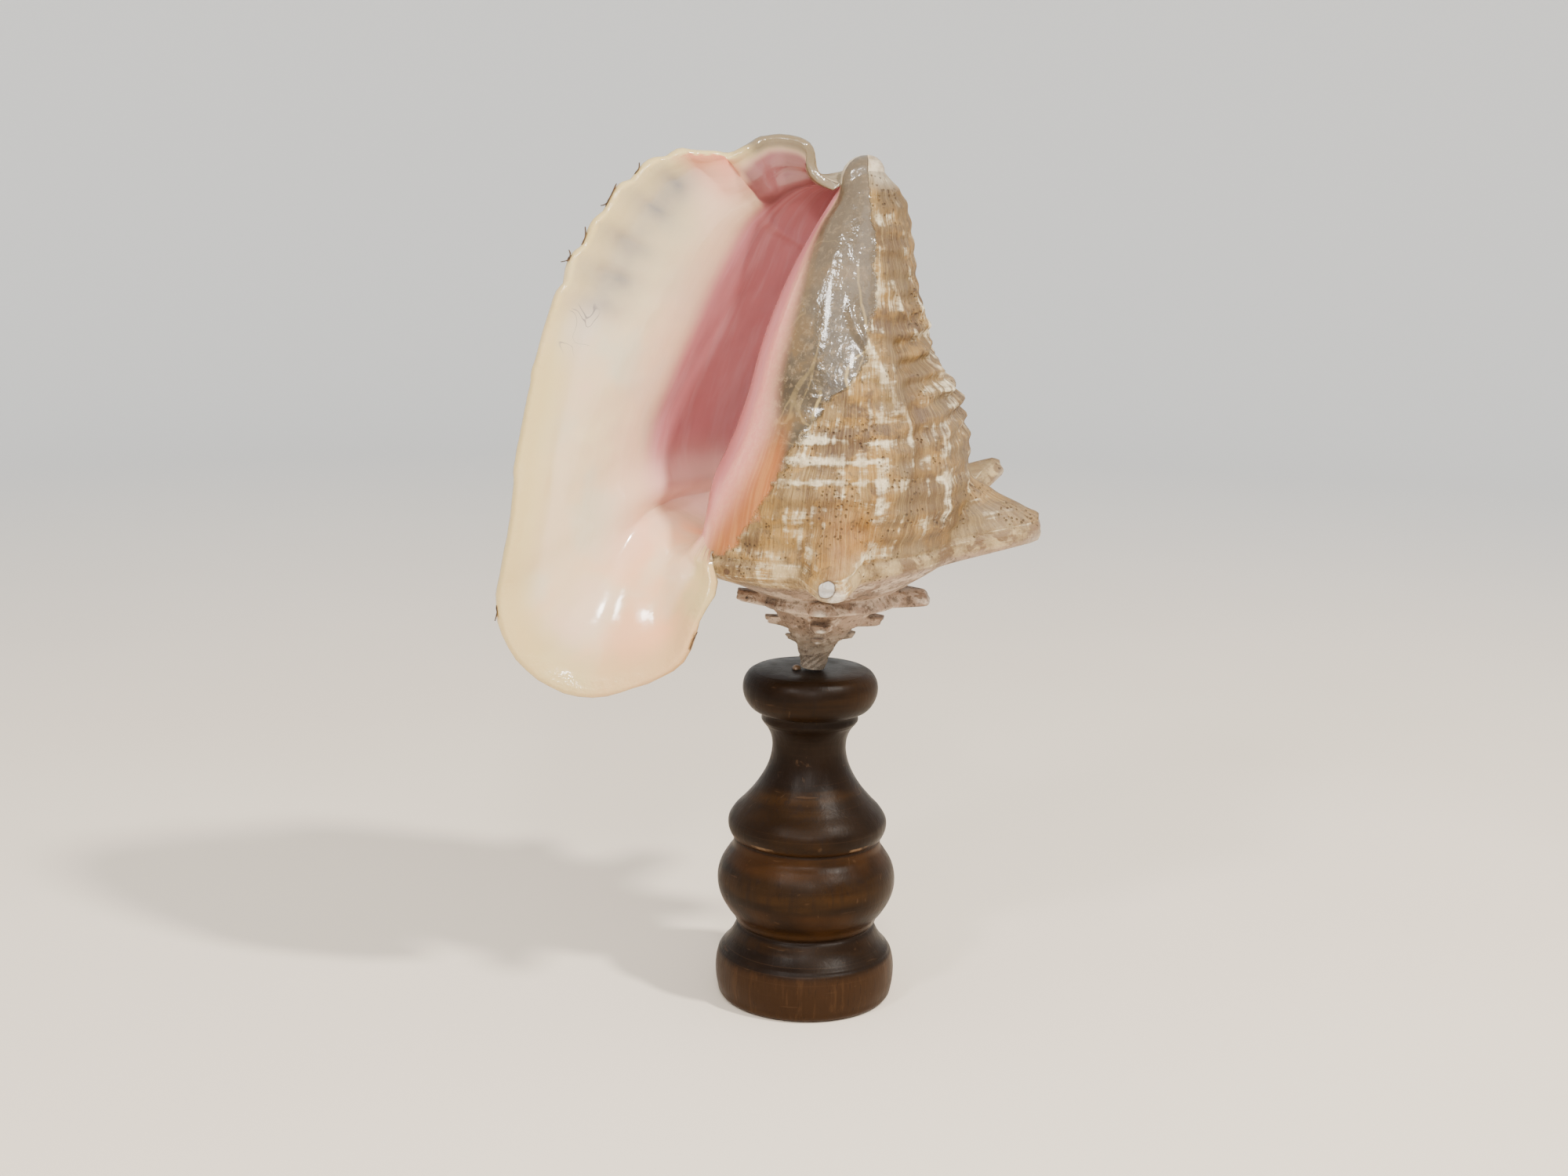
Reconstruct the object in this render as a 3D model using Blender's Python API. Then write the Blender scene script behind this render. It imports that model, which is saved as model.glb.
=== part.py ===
"""Queen conch shell balanced apex down on a turned wooden stand.

The stand's underside is centred on the origin, +Z points up, and the open
side of the shell faces -Y.
"""
import math

import bmesh
import bpy
import numpy as np

MM = 0.001

# Turned stand, radius and height of each turn of its outline in millimetres
STAND_OUTLINE = [
    (36.0, 0.0), (38.0, 1.6), (39.0, 5.0), (39.0, 19.0), (38.2, 21.6), (35.6, 24.4),
    (32.4, 29.0), (31.0, 33.4), (31.8, 36.8), (35.0, 41.4), (37.8, 46.4), (39.2, 51.4),
    (39.3, 56.0), (37.8, 61.4), (34.8, 66.4), (32.8, 69.4), (32.6, 71.8), (33.8, 74.8),
    (34.9, 78.2), (34.8, 81.4), (33.0, 84.8), (28.6, 89.6), (23.4, 95.8), (19.6, 102.0),
    (17.0, 108.6), (16.2, 114.4), (17.0, 119.6), (19.2, 123.8), (21.2, 126.0), (21.2, 129.2),
    (25.4, 131.6), (28.6, 136.0), (29.6, 140.6), (28.8, 144.8), (27.0, 147.4), (24.8, 148.7),
]
STAND_TOP = 149.0
STAND_SIDES = 36

# Bead of old glue, millimetres
GLUE_AT = (-6.2, -3.2, 149.3)
GLUE_RADIUS = 2.2
GLUE_HEIGHT = 1.9

# Shell, millimetres
APEX_AT = (0.8, -2.0, 149.3)
LEAN_DEGREES = 4.7
SHELL_LENGTH = 220.0
APEX_RISE = 0.5
LIP_AZIMUTH = 215.0
WALL = 3.6
LIP_WALL = 5.0
HOLLOW_TURNS = 0.37
SPIRE_TURNS = 5.5
FLARE_TURNS = 0.13

# Shoulder radius and height above the apex, by turns before the lip
SHOULDER = [
    (-6.60, 4.5, -0.2), (-6.00, 4.6, -0.15), (-5.60, 4.7, 0.1), (-5.10, 5.6, 4.5),
    (-4.60, 7.6, 9.3), (-3.60, 12.6, 16.0), (-2.60, 19.5, 23.0), (-1.60, 34.0, 33.5), (-1.15, 45.0, 41.0), (-1.04, 58.0, 42.5),
    (-0.95, 55.0, 45.0), (-0.85, 53.5, 49.0), (-0.60, 57.0, 61.0), (-0.48, 59.5, 68.0),
    (-0.35, 62.0, 69.0), (-0.13, 76.0, 61.0),
    (0.0, 86.0, 58.0),
]

# Heights of the side stations and the radius at each, by turns before the lip
SIDE_HEIGHTS = [83.0, 95.0, 118.0, 140.0, 168.0, 189.0, 205.0]
SIDE_RADII = [
    (-1.46, [36.0, 33.5, 29.0, 25.0, 18.0, 13.0, 8.5]),
    (-1.35, [39.5, 37.5, 32.5, 28.0, 21.0, 15.0, 9.5]),
    (-1.14, [48.5, 45.0, 39.0, 35.5, 28.0, 19.5, 11.5]),
    (-1.02, [52.0, 47.0, 40.5, 36.5, 28.0, 19.5, 11.5]),
    (-0.85, [54.0, 51.0, 43.5, 37.0, 27.5, 20.0, 12.5]),
    (-0.60, [59.0, 57.0, 50.0, 36.5, 27.0, 22.5, 16.5]),
    (-0.35, [62.0, 60.0, 54.0, 45.0, 35.0, 28.0, 20.0]),
    (-0.13, [79.0, 79.0, 73.0, 66.0, 55.0, 46.0, 31.0]),
    (0.0, [87.0, 88.0, 82.0, 75.0, 64.0, 54.0, 35.0]),
]
CANAL_RADIUS = 8.0
CANAL_HEIGHT = 213.5
NOTCH_RADIUS = 11.5
NOTCH_HEIGHT = 207.0

# Spines and knobs: turns before the lip, reach, rise toward the canal, half width
# along the whorl, reach of the root toward the canal, toward the apex, and bluntness
SPINES = [
    (-0.842, 19.0, -4.0, 14.0, 26.0, 12.0, 1.45),
    (-0.602, 33.0, 8.0, 18.0, 30.0, 14.0, 1.50), (-0.490, 37.0, 19.0, 14.0, 18.0, 11.0, 1.45),
    (-0.370, 20.0, 6.0, 14.0, 20.0, 12.0, 1.40), (-0.267, 12.0, 2.0, 14.0, 18.0, 12.0, 1.30),
    (-1.600, 13.0, 1.0, 9.5, 8.0, 8.0, 2.10), (-1.440, 8.0, 0.5, 9.0, 8.0, 7.5, 2.00),
    (-1.290, 8.0, 0.5, 9.0, 8.0, 7.5, 2.00), (-2.100, 10.0, 0.5, 8.0, 7.0, 7.0, 2.10),
    (-1.850, 5.0, 0.5, 8.0, 7.0, 6.5, 1.90), (-2.600, 7.0, 0.0, 6.0, 5.5, 5.5, 2.00),
    (-2.390, 5.0, 0.0, 5.5, 5.0, 5.0, 1.90), (-2.840, 4.5, 0.0, 5.5, 5.0, 5.0, 1.90),
    (-3.100, 6.0, 0.0, 5.5, 4.5, 4.5, 2.00), (-3.340, 2.6, 0.0, 3.6, 3.0, 3.0, 1.80),
    (-3.600, 3.0, 0.0, 3.6, 3.0, 3.0, 1.80), (-3.840, 2.4, 0.0, 3.2, 3.0, 2.6, 1.80),
    (-4.100, 2.4, 0.0, 3.0, 2.6, 2.4, 1.80),
]

# Edge of the flared lip from the spire end round to the canal notch
LIP_EDGE = [
    (-40.0, -42.0, 190.0), (-44.0, -44.0, 184.0), (-47.0, -44.0, 178.0), (-49.0, -43.0, 170.0),
    (-53.0, -41.0, 162.0), (-61.0, -39.0, 155.0), (-72.0, -38.0, 150.0), (-85.0, -37.0, 145.0),
    (-99.0, -36.0, 145.0), (-113.0, -36.0, 151.0), (-123.0, -36.0, 160.0), (-130.0, -37.0, 174.0),
    (-131.0, -38.0, 186.0), (-128.0, -40.0, 202.0), (-124.0, -41.0, 223.0), (-122.0, -41.0, 246.0),
    (-118.0, -40.0, 264.0), (-114.0, -38.0, 284.0), (-110.0, -36.0, 299.0), (-105.0, -34.0, 313.0),
    (-99.0, -32.0, 326.0), (-91.0, -29.0, 339.0), (-84.0, -26.0, 350.0), (-74.0, -22.0, 360.0),
    (-59.0, -17.0, 368.0), (-45.0, -14.0, 368.0), (-36.0, -11.0, 368.0), (-25.0, -8.0, 374.0),
    (-13.0, -6.0, 375.0), (-4.0, -6.0, 371.0), (-1.0, -7.0, 361.0),
]

# Rows of the mesh
COLUMNS_PLAIN = 36
COLUMNS_FLARE = 9
ROWS_RAMP = 8
ROWS_SIDE = 16

# Colours
BONE = (0.78, 0.66, 0.55)
WALNUT = (0.085, 0.042, 0.024)
GLUE = (0.10, 0.055, 0.03)


def spread(stations, values, where):
    """Value between stations along a smooth curve through all of them."""
    x = np.asarray(stations, float)
    y = np.asarray(values, float)
    slope = np.gradient(y, x, axis=0)
    k = int(np.clip(np.searchsorted(x, where) - 1, 0, len(x) - 2))
    span = x[k + 1] - x[k]
    u = min(max((where - x[k]) / span, 0.0), 1.0)
    a = 2 * u ** 3 - 3 * u ** 2 + 1
    b = u ** 3 - 2 * u ** 2 + u
    c = 3 * u ** 2 - 2 * u ** 3
    d = u ** 3 - u ** 2
    return a * y[k] + b * span * slope[k] + c * y[k + 1] + d * span * slope[k + 1]


def ease(u):
    """Smooth step from 0 to 1."""
    u = min(max(u, 0.0), 1.0)
    return u * u * (3.0 - 2.0 * u)


def unit(v):
    """Vector of length one."""
    return v / max(float(np.linalg.norm(v)), 1e-9)


def to_world(point):
    """Shell coordinates (apex at zero, axis up) to the stand's, millimetres."""
    lean = math.radians(LEAN_DEGREES)
    x, y, z = point
    turned = (x * math.cos(lean) + z * math.sin(lean), y, z * math.cos(lean) - x * math.sin(lean))
    return np.array(turned) + np.array(APEX_AT)


def around(turn, radius, height):
    """World point at a turn, radius and height of the shell."""
    angle = math.radians(LIP_AZIMUTH) + 2.0 * math.pi * turn
    return to_world((radius * math.cos(angle), radius * math.sin(angle), height))


def shoulder(turn):
    """Radius and height of the shoulder."""
    table = np.array(SHOULDER)
    return spread(table[:, 0], table[:, 1:], turn)


def seam(turn):
    """Where the next whorl is laid against this one, proud of it at the lip's root."""
    r, h = shoulder(turn)
    late = ease((turn + 1.0) / 0.3)
    root = math.exp(-((turn + 0.995) / 0.07) ** 2)
    return np.array([r * (0.93 + 0.05 * late + 0.09 * root), h + r * (0.16 - 0.02 * late)])


def canal_end(turn):
    """Radius and height of the canal's rim, dropping to the notch at the lip."""
    off = min(abs(turn), abs(turn + 1.0)) * 360.0
    near = math.exp(-(off / 32.0) ** 2)
    r = CANAL_RADIUS + (NOTCH_RADIUS - CANAL_RADIUS) * near
    h = CANAL_HEIGHT + (NOTCH_HEIGHT - CANAL_HEIGHT) * near
    return np.array([r, h])


def ramp_section(turn, part):
    """Radius and height from the seam below, over the shoulder, to the seam above."""
    start = seam(turn - 1.0)
    top = shoulder(turn)
    end = seam(turn)
    late = ease((turn + 1.3) / 0.4)
    knee = start + (top - start) * np.array([0.34 + 0.16 * late, 0.60 - 0.14 * late])
    return spread([0.0, 0.34, 0.66, 1.0], [start, knee, top, end], part)


def side_section(turn, part):
    """Radius and height from the shoulder seam up to the canal's rim."""
    radii = spread([s[0] for s in SIDE_RADII], [s[1] for s in SIDE_RADII], turn)
    first = seam(turn)
    last = canal_end(turn)
    if turn < -1.0:
        deep = ease((-1.0 - turn) / HOLLOW_TURNS)
        last = last - np.array([6.0 * deep, 26.0 * deep])
    hs = [first[1]] + SIDE_HEIGHTS
    rs = [first[0]] + list(radii)
    points = [np.array([r, h]) for r, h in zip(rs, hs)] + [last]
    if turn < -1.0:
        squeeze = 1.0 - 0.13 * ease((-1.0 - turn) / HOLLOW_TURNS)
        points = [points[0]] + [np.array([p[0], points[0][1] + (p[1] - points[0][1]) * squeeze])
                                for p in points[1:-1]] + [last]
    marks = [0.0]
    for a, b in zip(points, points[1:]):
        marks.append(marks[-1] + float(np.hypot(*(b - a))))
    marks = [m / marks[-1] for m in marks]
    return spread(marks, points, part)


def spine_reach(turn, radius, height):
    """How far the spines push this point outward and toward the canal."""
    top = shoulder(turn)
    out = 0.0
    rise = 0.0
    for at, reach, lift, half, up, down, blunt in SPINES:
        along = top[0] * math.radians(360.0 * (turn - at))
        if abs(along) > half * 1.3:
            continue
        if height >= top[1]:
            across = max(height - top[1] - 2.0, 0.0) / up
        else:
            across = math.hypot(radius - top[0], height - top[1]) / down
        away = math.hypot(along / half, across)
        swell = max(0.0, 1.0 - away) ** 1.35 * blunt
        out += reach * min(swell, 1.0)
        rise += lift * min(swell, 1.0)
    return out, rise


def outside(turn, row, spines=True):
    """World point of the plain spiral surface, before the lip flares."""
    if row <= ROWS_RAMP:
        r, h = ramp_section(turn, row / ROWS_RAMP)
    else:
        r, h = side_section(turn, (row - ROWS_RAMP) / ROWS_SIDE)
    if spines:
        out, rise = spine_reach(turn, r, h)
        r, h = r + out, h + rise
    return around(turn, r, h)


def lip_edge(share):
    """Point on the lip's edge, by share of the way from spire to notch."""
    first = outside(-1.0, ROWS_RAMP)
    last = around(-1.0, *canal_end(-1.0))
    points = [first] + [np.array(p) for p in LIP_EDGE] + [last]
    marks = [0.0]
    for a, b in zip(points, points[1:]):
        marks.append(marks[-1] + float(np.linalg.norm(b - a)))
    marks = [m / marks[-1] for m in marks]
    return spread(marks, points, share)


def row_share(row):
    """Share of the lip's edge that belongs to a row of the shell."""
    if row <= ROWS_RAMP:
        return 0.36 * row / ROWS_RAMP
    return 0.36 + 0.64 * (row - ROWS_RAMP) / ROWS_SIDE


def swept(u, row):
    """Curve from the last plain column out to the lip's edge, for one row."""
    start = outside(-FLARE_TURNS, row, False)
    before = outside(-FLARE_TURNS - 0.01, row, False)
    edge = lip_edge(row_share(row))
    gap = edge - start
    length = float(np.linalg.norm(gap))
    leave = unit(start - before)
    arrive = unit(gap * np.array([1.0, 0.55, 1.0]))
    a = start + leave * length * 0.40
    b = edge - arrive * length * 0.42
    w = 1.0 - u
    return w ** 3 * start + 3 * w * w * u * a + 3 * w * u * u * b + u ** 3 * edge


def flared(turn, row):
    """World point of the outer surface where it spreads into the lip."""
    u = (turn + FLARE_TURNS) / FLARE_TURNS
    point = swept(u, row)
    low = ease(1.0 - row / ROWS_RAMP)
    if low > 0.0:
        point = point + low * (outside(turn, 0, False) - swept(u, 0))
    top = ROWS_RAMP + ROWS_SIDE
    high = ease(1.0 - (top - row) / 4.0)
    if high > 0.0:
        point = point + high * (around(turn, *canal_end(turn)) - swept(u, top))
    return point


def surface(turn, row, spines=True):
    """World point of the shell's outer surface."""
    if turn > -FLARE_TURNS + 1e-9:
        return flared(turn, row)
    return outside(turn, row, spines)


def parietal(turn, row):
    """World point of the whorl's face inside the aperture."""
    lift = 0.035 * ease((-1.0 - turn) / 0.04)
    part = (row - ROWS_RAMP) / ROWS_SIDE
    r, h = side_section(turn, lift + (1.0 - lift) * part)
    out, rise = spine_reach(turn, r, h)
    return around(turn, r + out, h + rise)


def turns():
    """Turn values of the columns; the flare's closer ones repeat on every whorl."""
    one = [-1.0 + (1.0 - FLARE_TURNS) * i / COLUMNS_PLAIN for i in range(COLUMNS_PLAIN)]
    one += [-FLARE_TURNS + FLARE_TURNS * i / COLUMNS_FLARE for i in range(COLUMNS_FLARE)]
    whole = int(math.floor(SPIRE_TURNS))
    values = []
    for back in range(whole, -1, -1):
        values += [t - back for t in one]
    values = [t for t in values if t >= -SPIRE_TURNS]
    return values + [0.0]


class ShellMesh:
    """Vertices and faces of the shell, welded by name rather than by distance."""

    def __init__(self):
        self.t = turns()
        self.last = len(self.t) - 1
        self.lap = COLUMNS_PLAIN + COLUMNS_FLARE
        self.rows = ROWS_RAMP + ROWS_SIDE
        self.names = {}
        self.points = []
        self.faces = []
        self.base = {}

    def same(self, kind, i, j):
        """Name of the vertex that this one is welded to."""
        if kind == "in":
            if j == 0:
                return self.same("core", i - self.lap, ROWS_RAMP)
            if j == self.rows:
                return self.same("core", i - self.lap, self.rows)
        if kind == "core" and i == self.last - self.lap:
            return self.same("out", i, j)
        if kind == "out":
            if j == 0 and i >= self.lap:
                return ("out", i - self.lap, ROWS_RAMP)
            if j == self.rows and i == self.last:
                return ("out", i - self.lap, self.rows)
        if kind == "rim" and j in (0, self.rows):
            return self.same("out", self.last, j)
        return (kind, i, j)

    def plain(self, i, j):
        """Outer surface without spines, kept for the normals."""
        if (i, j) not in self.base:
            self.base[(i, j)] = surface(self.t[i], j, False)
        return self.base[(i, j)]

    def inward(self, i, j):
        """Unit vector from the outer surface into the wall."""
        a = self.plain(min(i + 1, self.last), j) - self.plain(max(i - 1, 0), j)
        b = self.plain(i, min(j + 1, self.rows)) - self.plain(i, max(j - 1, 0))
        return unit(np.cross(b, a))

    def wall(self, i):
        """Wall thickness at a column."""
        return WALL + (LIP_WALL - WALL) * ease((self.t[i] + 0.08) / 0.06)

    def place(self, name):
        """World point of a named vertex."""
        kind, i, j = name
        if kind == "out":
            return surface(self.t[i], j)
        if kind == "core":
            return parietal(self.t[i], j)
        if kind == "in":
            ends = min(j, self.rows - j)
            wall = self.wall(i) * (0.8 if ends == 1 else 1.0)
            return self.plain(i, j) + self.inward(i, j) * wall
        if kind == "rim":
            wall = self.wall(self.last)
            outward = unit(self.plain(self.last, j) - self.plain(self.last - 1, j))
            return self.plain(self.last, j) + self.inward(self.last, j) * wall * 0.5 + outward * 1.6
        if kind == "tip":
            return to_world((0.0, 0.0, SHELL_LENGTH))
        return to_world((0.0, 0.0, APEX_RISE))

    def vertex(self, kind, i=0, j=0):
        """Index of a vertex, made when first asked for."""
        name = self.same(kind, i, j)
        if name not in self.names:
            self.names[name] = len(self.points)
            self.points.append(self.place(name))
        return self.names[name]

    def face(self, *names):
        """Add a face, leaving out corners that are welded together."""
        corners = []
        for name in names:
            k = self.vertex(*name)
            if k not in corners:
                corners.append(k)
        if len(corners) > 2:
            self.faces.append(corners)

    def build(self):
        """Make every patch of the closed surface."""
        start = self.last - self.lap
        deep = min(i for i, t in enumerate(self.t) if t >= -HOLLOW_TURNS - 1e-9)
        for i in range(self.last):
            top = self.rows if i >= start else ROWS_RAMP
            for j in range(top):
                self.face(("out", i, j), ("out", i + 1, j), ("out", i + 1, j + 1), ("out", i, j + 1))
        for i in range(deep - self.lap, start):
            for j in range(ROWS_RAMP, self.rows):
                self.face(("core", i, j), ("core", i + 1, j), ("core", i + 1, j + 1), ("core", i, j + 1))
        for i in range(deep, self.last):
            for j in range(self.rows):
                self.face(("in", i, j), ("in", i, j + 1), ("in", i + 1, j + 1), ("in", i + 1, j))
        for j in range(self.rows):
            self.face(("out", self.last, j), ("rim", 0, j), ("rim", 0, j + 1), ("out", self.last, j + 1))
            self.face(("rim", 0, j), ("in", self.last, j), ("in", self.last, j + 1), ("rim", 0, j + 1))
        self.close_deep_end(deep)
        for i in range(start, self.last):
            self.face(("out", i, self.rows), ("out", i + 1, self.rows), ("tip",))
        loop = [("out", i, 0) for i in range(0, self.lap + 1)]
        loop += [("out", 0, j) for j in range(ROWS_RAMP - 1, 0, -1)]
        for a, b in zip(loop, loop[1:] + loop[:1]):
            self.face(a, b, ("apex",))

    def close_deep_end(self, deep):
        """Close the far end of the hollow between its outer and inner walls."""
        outer = [("in", deep, j) for j in range(self.rows + 1)]
        inner = [("core", deep - self.lap, j) for j in range(ROWS_RAMP, self.rows + 1)]
        a = 0
        b = 0
        while a < len(outer) - 1 or b < len(inner) - 1:
            if (a + 1) / (len(outer) - 1) <= (b + 1) / (len(inner) - 1) or b == len(inner) - 1:
                self.face(outer[a], outer[a + 1], inner[b])
                a += 1
            else:
                self.face(outer[a], inner[b + 1], inner[b])
                b += 1


def material(name, colour, roughness, coat=0.0):
    """Plain Principled material."""
    made = bpy.data.materials.new(name)
    made.use_nodes = True
    shader = made.node_tree.nodes["Principled BSDF"]
    shader.inputs["Base Color"].default_value = (*colour, 1.0)
    shader.inputs["Roughness"].default_value = roughness
    shader.inputs["Coat Weight"].default_value = coat
    return made


def make_object(name, points, faces, dress):
    """Object from points in metres, with outward faces and smooth shading."""
    mesh = bpy.data.meshes.new(name)
    mesh.from_pydata([tuple(float(c) for c in p) for p in points], [], faces)
    work = bmesh.new()
    work.from_mesh(mesh)
    bmesh.ops.triangulate(work, faces=[f for f in work.faces if len(f.verts) > 3])
    bmesh.ops.recalc_face_normals(work, faces=work.faces)
    work.to_mesh(mesh)
    work.free()
    mesh.polygons.foreach_set("use_smooth", [True] * len(mesh.polygons))
    mesh.materials.append(dress)
    made = bpy.data.objects.new(name, mesh)
    bpy.context.scene.collection.objects.link(made)
    return made


def lathe(outline, sides, top):
    """Points and faces of a solid of revolution closed at both ends."""
    points = []
    faces = []
    for r, z in outline:
        for k in range(sides):
            angle = 2.0 * math.pi * k / sides
            points.append((r * math.cos(angle) * MM, r * math.sin(angle) * MM, z * MM))
    for i in range(len(outline) - 1):
        for k in range(sides):
            n = (k + 1) % sides
            faces.append([i * sides + k, i * sides + n, (i + 1) * sides + n, (i + 1) * sides + k])
    points.append((0.0, 0.0, outline[0][1] * MM))
    points.append((0.0, 0.0, top * MM))
    bottom, crown = len(points) - 2, len(points) - 1
    ring = (len(outline) - 1) * sides
    for k in range(sides):
        n = (k + 1) % sides
        faces.append([k, bottom, n])
        faces.append([ring + k, ring + n, crown])
    return points, faces


def make_stand():
    """One piece of turned wood: base, bulge, skirt, neck and rounded top."""
    points, faces = lathe(STAND_OUTLINE, STAND_SIDES, STAND_TOP)
    return make_object("turned_stand", points, faces, material("dark_walnut", WALNUT, 0.42, 0.2))


def make_glue():
    """Small dark bead of old glue beside the apex."""
    x, y, z = GLUE_AT
    outline = [(GLUE_RADIUS * math.cos(a), GLUE_HEIGHT * math.sin(a))
               for a in (0.0, 0.35, 0.7, 1.05, 1.3)]
    points, faces = lathe(outline, 14, GLUE_HEIGHT)
    points = [(p[0] + x * MM, p[1] + y * MM, p[2] + z * MM) for p in points]
    return make_object("glue_bead", points, faces, material("old_glue", GLUE, 0.3))


def make_shell():
    """The whole shell as one solid with its real hollow."""
    shell = ShellMesh()
    shell.build()
    points = [p * MM for p in shell.points]
    return make_object("conch_shell", points, shell.faces, material("shell_nacre", BONE, 0.35, 0.3))


def main():
    """Clear the scene and build both pieces."""
    for old in list(bpy.data.objects):
        bpy.data.objects.remove(old, do_unlink=True)
    make_stand()
    make_shell()
    make_glue()


main()
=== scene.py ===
"""Queen conch shell standing apex down on a turned wooden stand, dressed for the camera."""
from __future__ import annotations

import logging
import math
from collections.abc import Sequence
from dataclasses import dataclass, field
from enum import Enum

import bmesh
import bpy
import numpy as np
from mathutils import Matrix, Vector


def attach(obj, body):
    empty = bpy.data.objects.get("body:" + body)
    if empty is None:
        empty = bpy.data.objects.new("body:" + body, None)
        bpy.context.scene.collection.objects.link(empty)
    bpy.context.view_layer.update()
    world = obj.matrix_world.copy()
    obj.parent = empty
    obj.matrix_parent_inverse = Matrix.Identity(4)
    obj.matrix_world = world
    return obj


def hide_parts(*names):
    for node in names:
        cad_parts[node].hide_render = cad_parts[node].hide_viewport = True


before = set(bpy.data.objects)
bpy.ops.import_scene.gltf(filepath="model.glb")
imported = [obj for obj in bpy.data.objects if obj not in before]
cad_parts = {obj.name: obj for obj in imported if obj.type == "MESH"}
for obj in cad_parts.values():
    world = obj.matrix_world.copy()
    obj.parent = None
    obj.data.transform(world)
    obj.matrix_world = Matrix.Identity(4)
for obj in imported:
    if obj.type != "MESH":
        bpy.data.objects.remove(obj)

MM = 0.001
HAIR = 1e-9
Array = np.ndarray
Piece = bpy.types.Object
Pairs = tuple[tuple[float, float], ...]
Colour = tuple[float, float, float]
Point = tuple[float, float, float]
Groups = dict[str, bpy.types.NodeTree]
log = logging.getLogger("conch")


# Shared shapes and sums

def ease(u: Array | float) -> Array | float:
    """Smooth step from 0 to 1."""
    u = np.clip(u, 0.0, 1.0)
    return u * u * (3.0 - 2.0 * u)


def band(x: Array | float, low: float, rise: float, high: float, fall: float) -> Array | float:
    """Smooth plateau of 1 from `low` to `high`.

    Args:
        x: the places asked for.
        low: where it starts to rise.
        rise: the width of its start.
        high: where it has fallen to 0.
        fall: the width of its end.

    Returns:
        The strength at each place.
    """
    return ease((x - low) / rise) * ease((high - x) / fall)


def unit(v: Array) -> Array:
    """Vectors of length one, along the last axis."""
    size = np.linalg.norm(v, axis=-1, keepdims=True)
    return v / np.maximum(size, HAIR)


def through(stations: Array, values: Array, where: Array | float) -> Array:
    """Smooth curve through stations.

    Args:
        stations: increasing positions of the known values.
        values: the known values, one row for each station.
        where: the positions asked for.

    Returns:
        One value, or row of values, for each position.
    """
    x = np.asarray(stations, float)
    y = np.asarray(values, float)
    w = np.atleast_1d(np.asarray(where, float))
    slope = np.gradient(y, x, axis=0)
    k = np.clip(np.searchsorted(x, w) - 1, 0, len(x) - 2)
    span = x[k + 1] - x[k]
    u = np.clip((w - x[k]) / span, 0.0, 1.0)
    if y.ndim > 1:
        u = u[:, None]
        span = span[:, None]
    a = 2 * u ** 3 - 3 * u ** 2 + 1
    b = (u ** 3 - 2 * u ** 2 + u) * span
    c = 3 * u ** 2 - 2 * u ** 3
    d = (u ** 3 - u ** 2) * span
    out = a * y[k] + b * slope[k] + c * y[k + 1] + d * slope[k + 1]
    return out[0] if np.ndim(where) == 0 else out


def lengths(points: Array) -> Array:
    """Distance along a line of points, at each point."""
    steps = np.linalg.norm(np.diff(points, axis=0), axis=1)
    return np.concatenate([[0.0], np.cumsum(steps)])


def ripple(x: Array, y: Array, seed: float) -> Array:
    """Soft irregular field between about -1 and 1, the same at every run.

    Args:
        x: first coordinate, about one bump for each unit.
        y: second coordinate, about one bump for each unit.
        seed: shifts the pattern.

    Returns:
        The field at each point.
    """
    total = np.zeros(np.broadcast(x, y).shape)
    for k in range(1, 6):
        turn = seed * 1.7 + k * 2.399
        fx = math.cos(turn) * (0.6 + 0.35 * k) * 3.1
        fy = math.sin(turn) * (0.6 + 0.35 * k) * 3.1
        total = total + np.sin(x * fx + y * fy + seed * k * 5.13) / (0.6 + 0.4 * k)
    return total / 3.2


# Natural form of the shell, millimetres

@dataclass(frozen=True)
class Spine:
    """A spine or knob on the shoulder."""

    turn: float
    reach: float
    lift: float
    half: float
    up: float
    down: float
    blunt: float = 1.18


@dataclass(frozen=True)
class Knob:
    """A low swelling on the side of the body whorl."""

    turn: float
    height: float
    reach: float
    along: float
    across: float


@dataclass(frozen=True)
class Ridge:
    """A fold or groove that runs up the outside, by share of the side and turn."""

    path: Pairs
    height: float
    width: float

    def strength(self, turn: float, part: Array) -> Array:
        """How strongly each row of a column lies on the fold, 0 to 1.

        Args:
            turn: turns, 0 at the lip.
            part: share of the column, -1 to 1.

        Returns:
            The strength at each row.
        """
        table = np.array(self.path)
        centre = through(table[:, 0], table[:, 1], part)
        across = (turn - centre) * 2.0 * math.pi * 52.0 / self.width
        ends = ease((part - table[0, 0]) / 0.06) * ease((table[-1, 0] - part) / 0.10)
        return np.exp(-across ** 2) * ends


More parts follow.
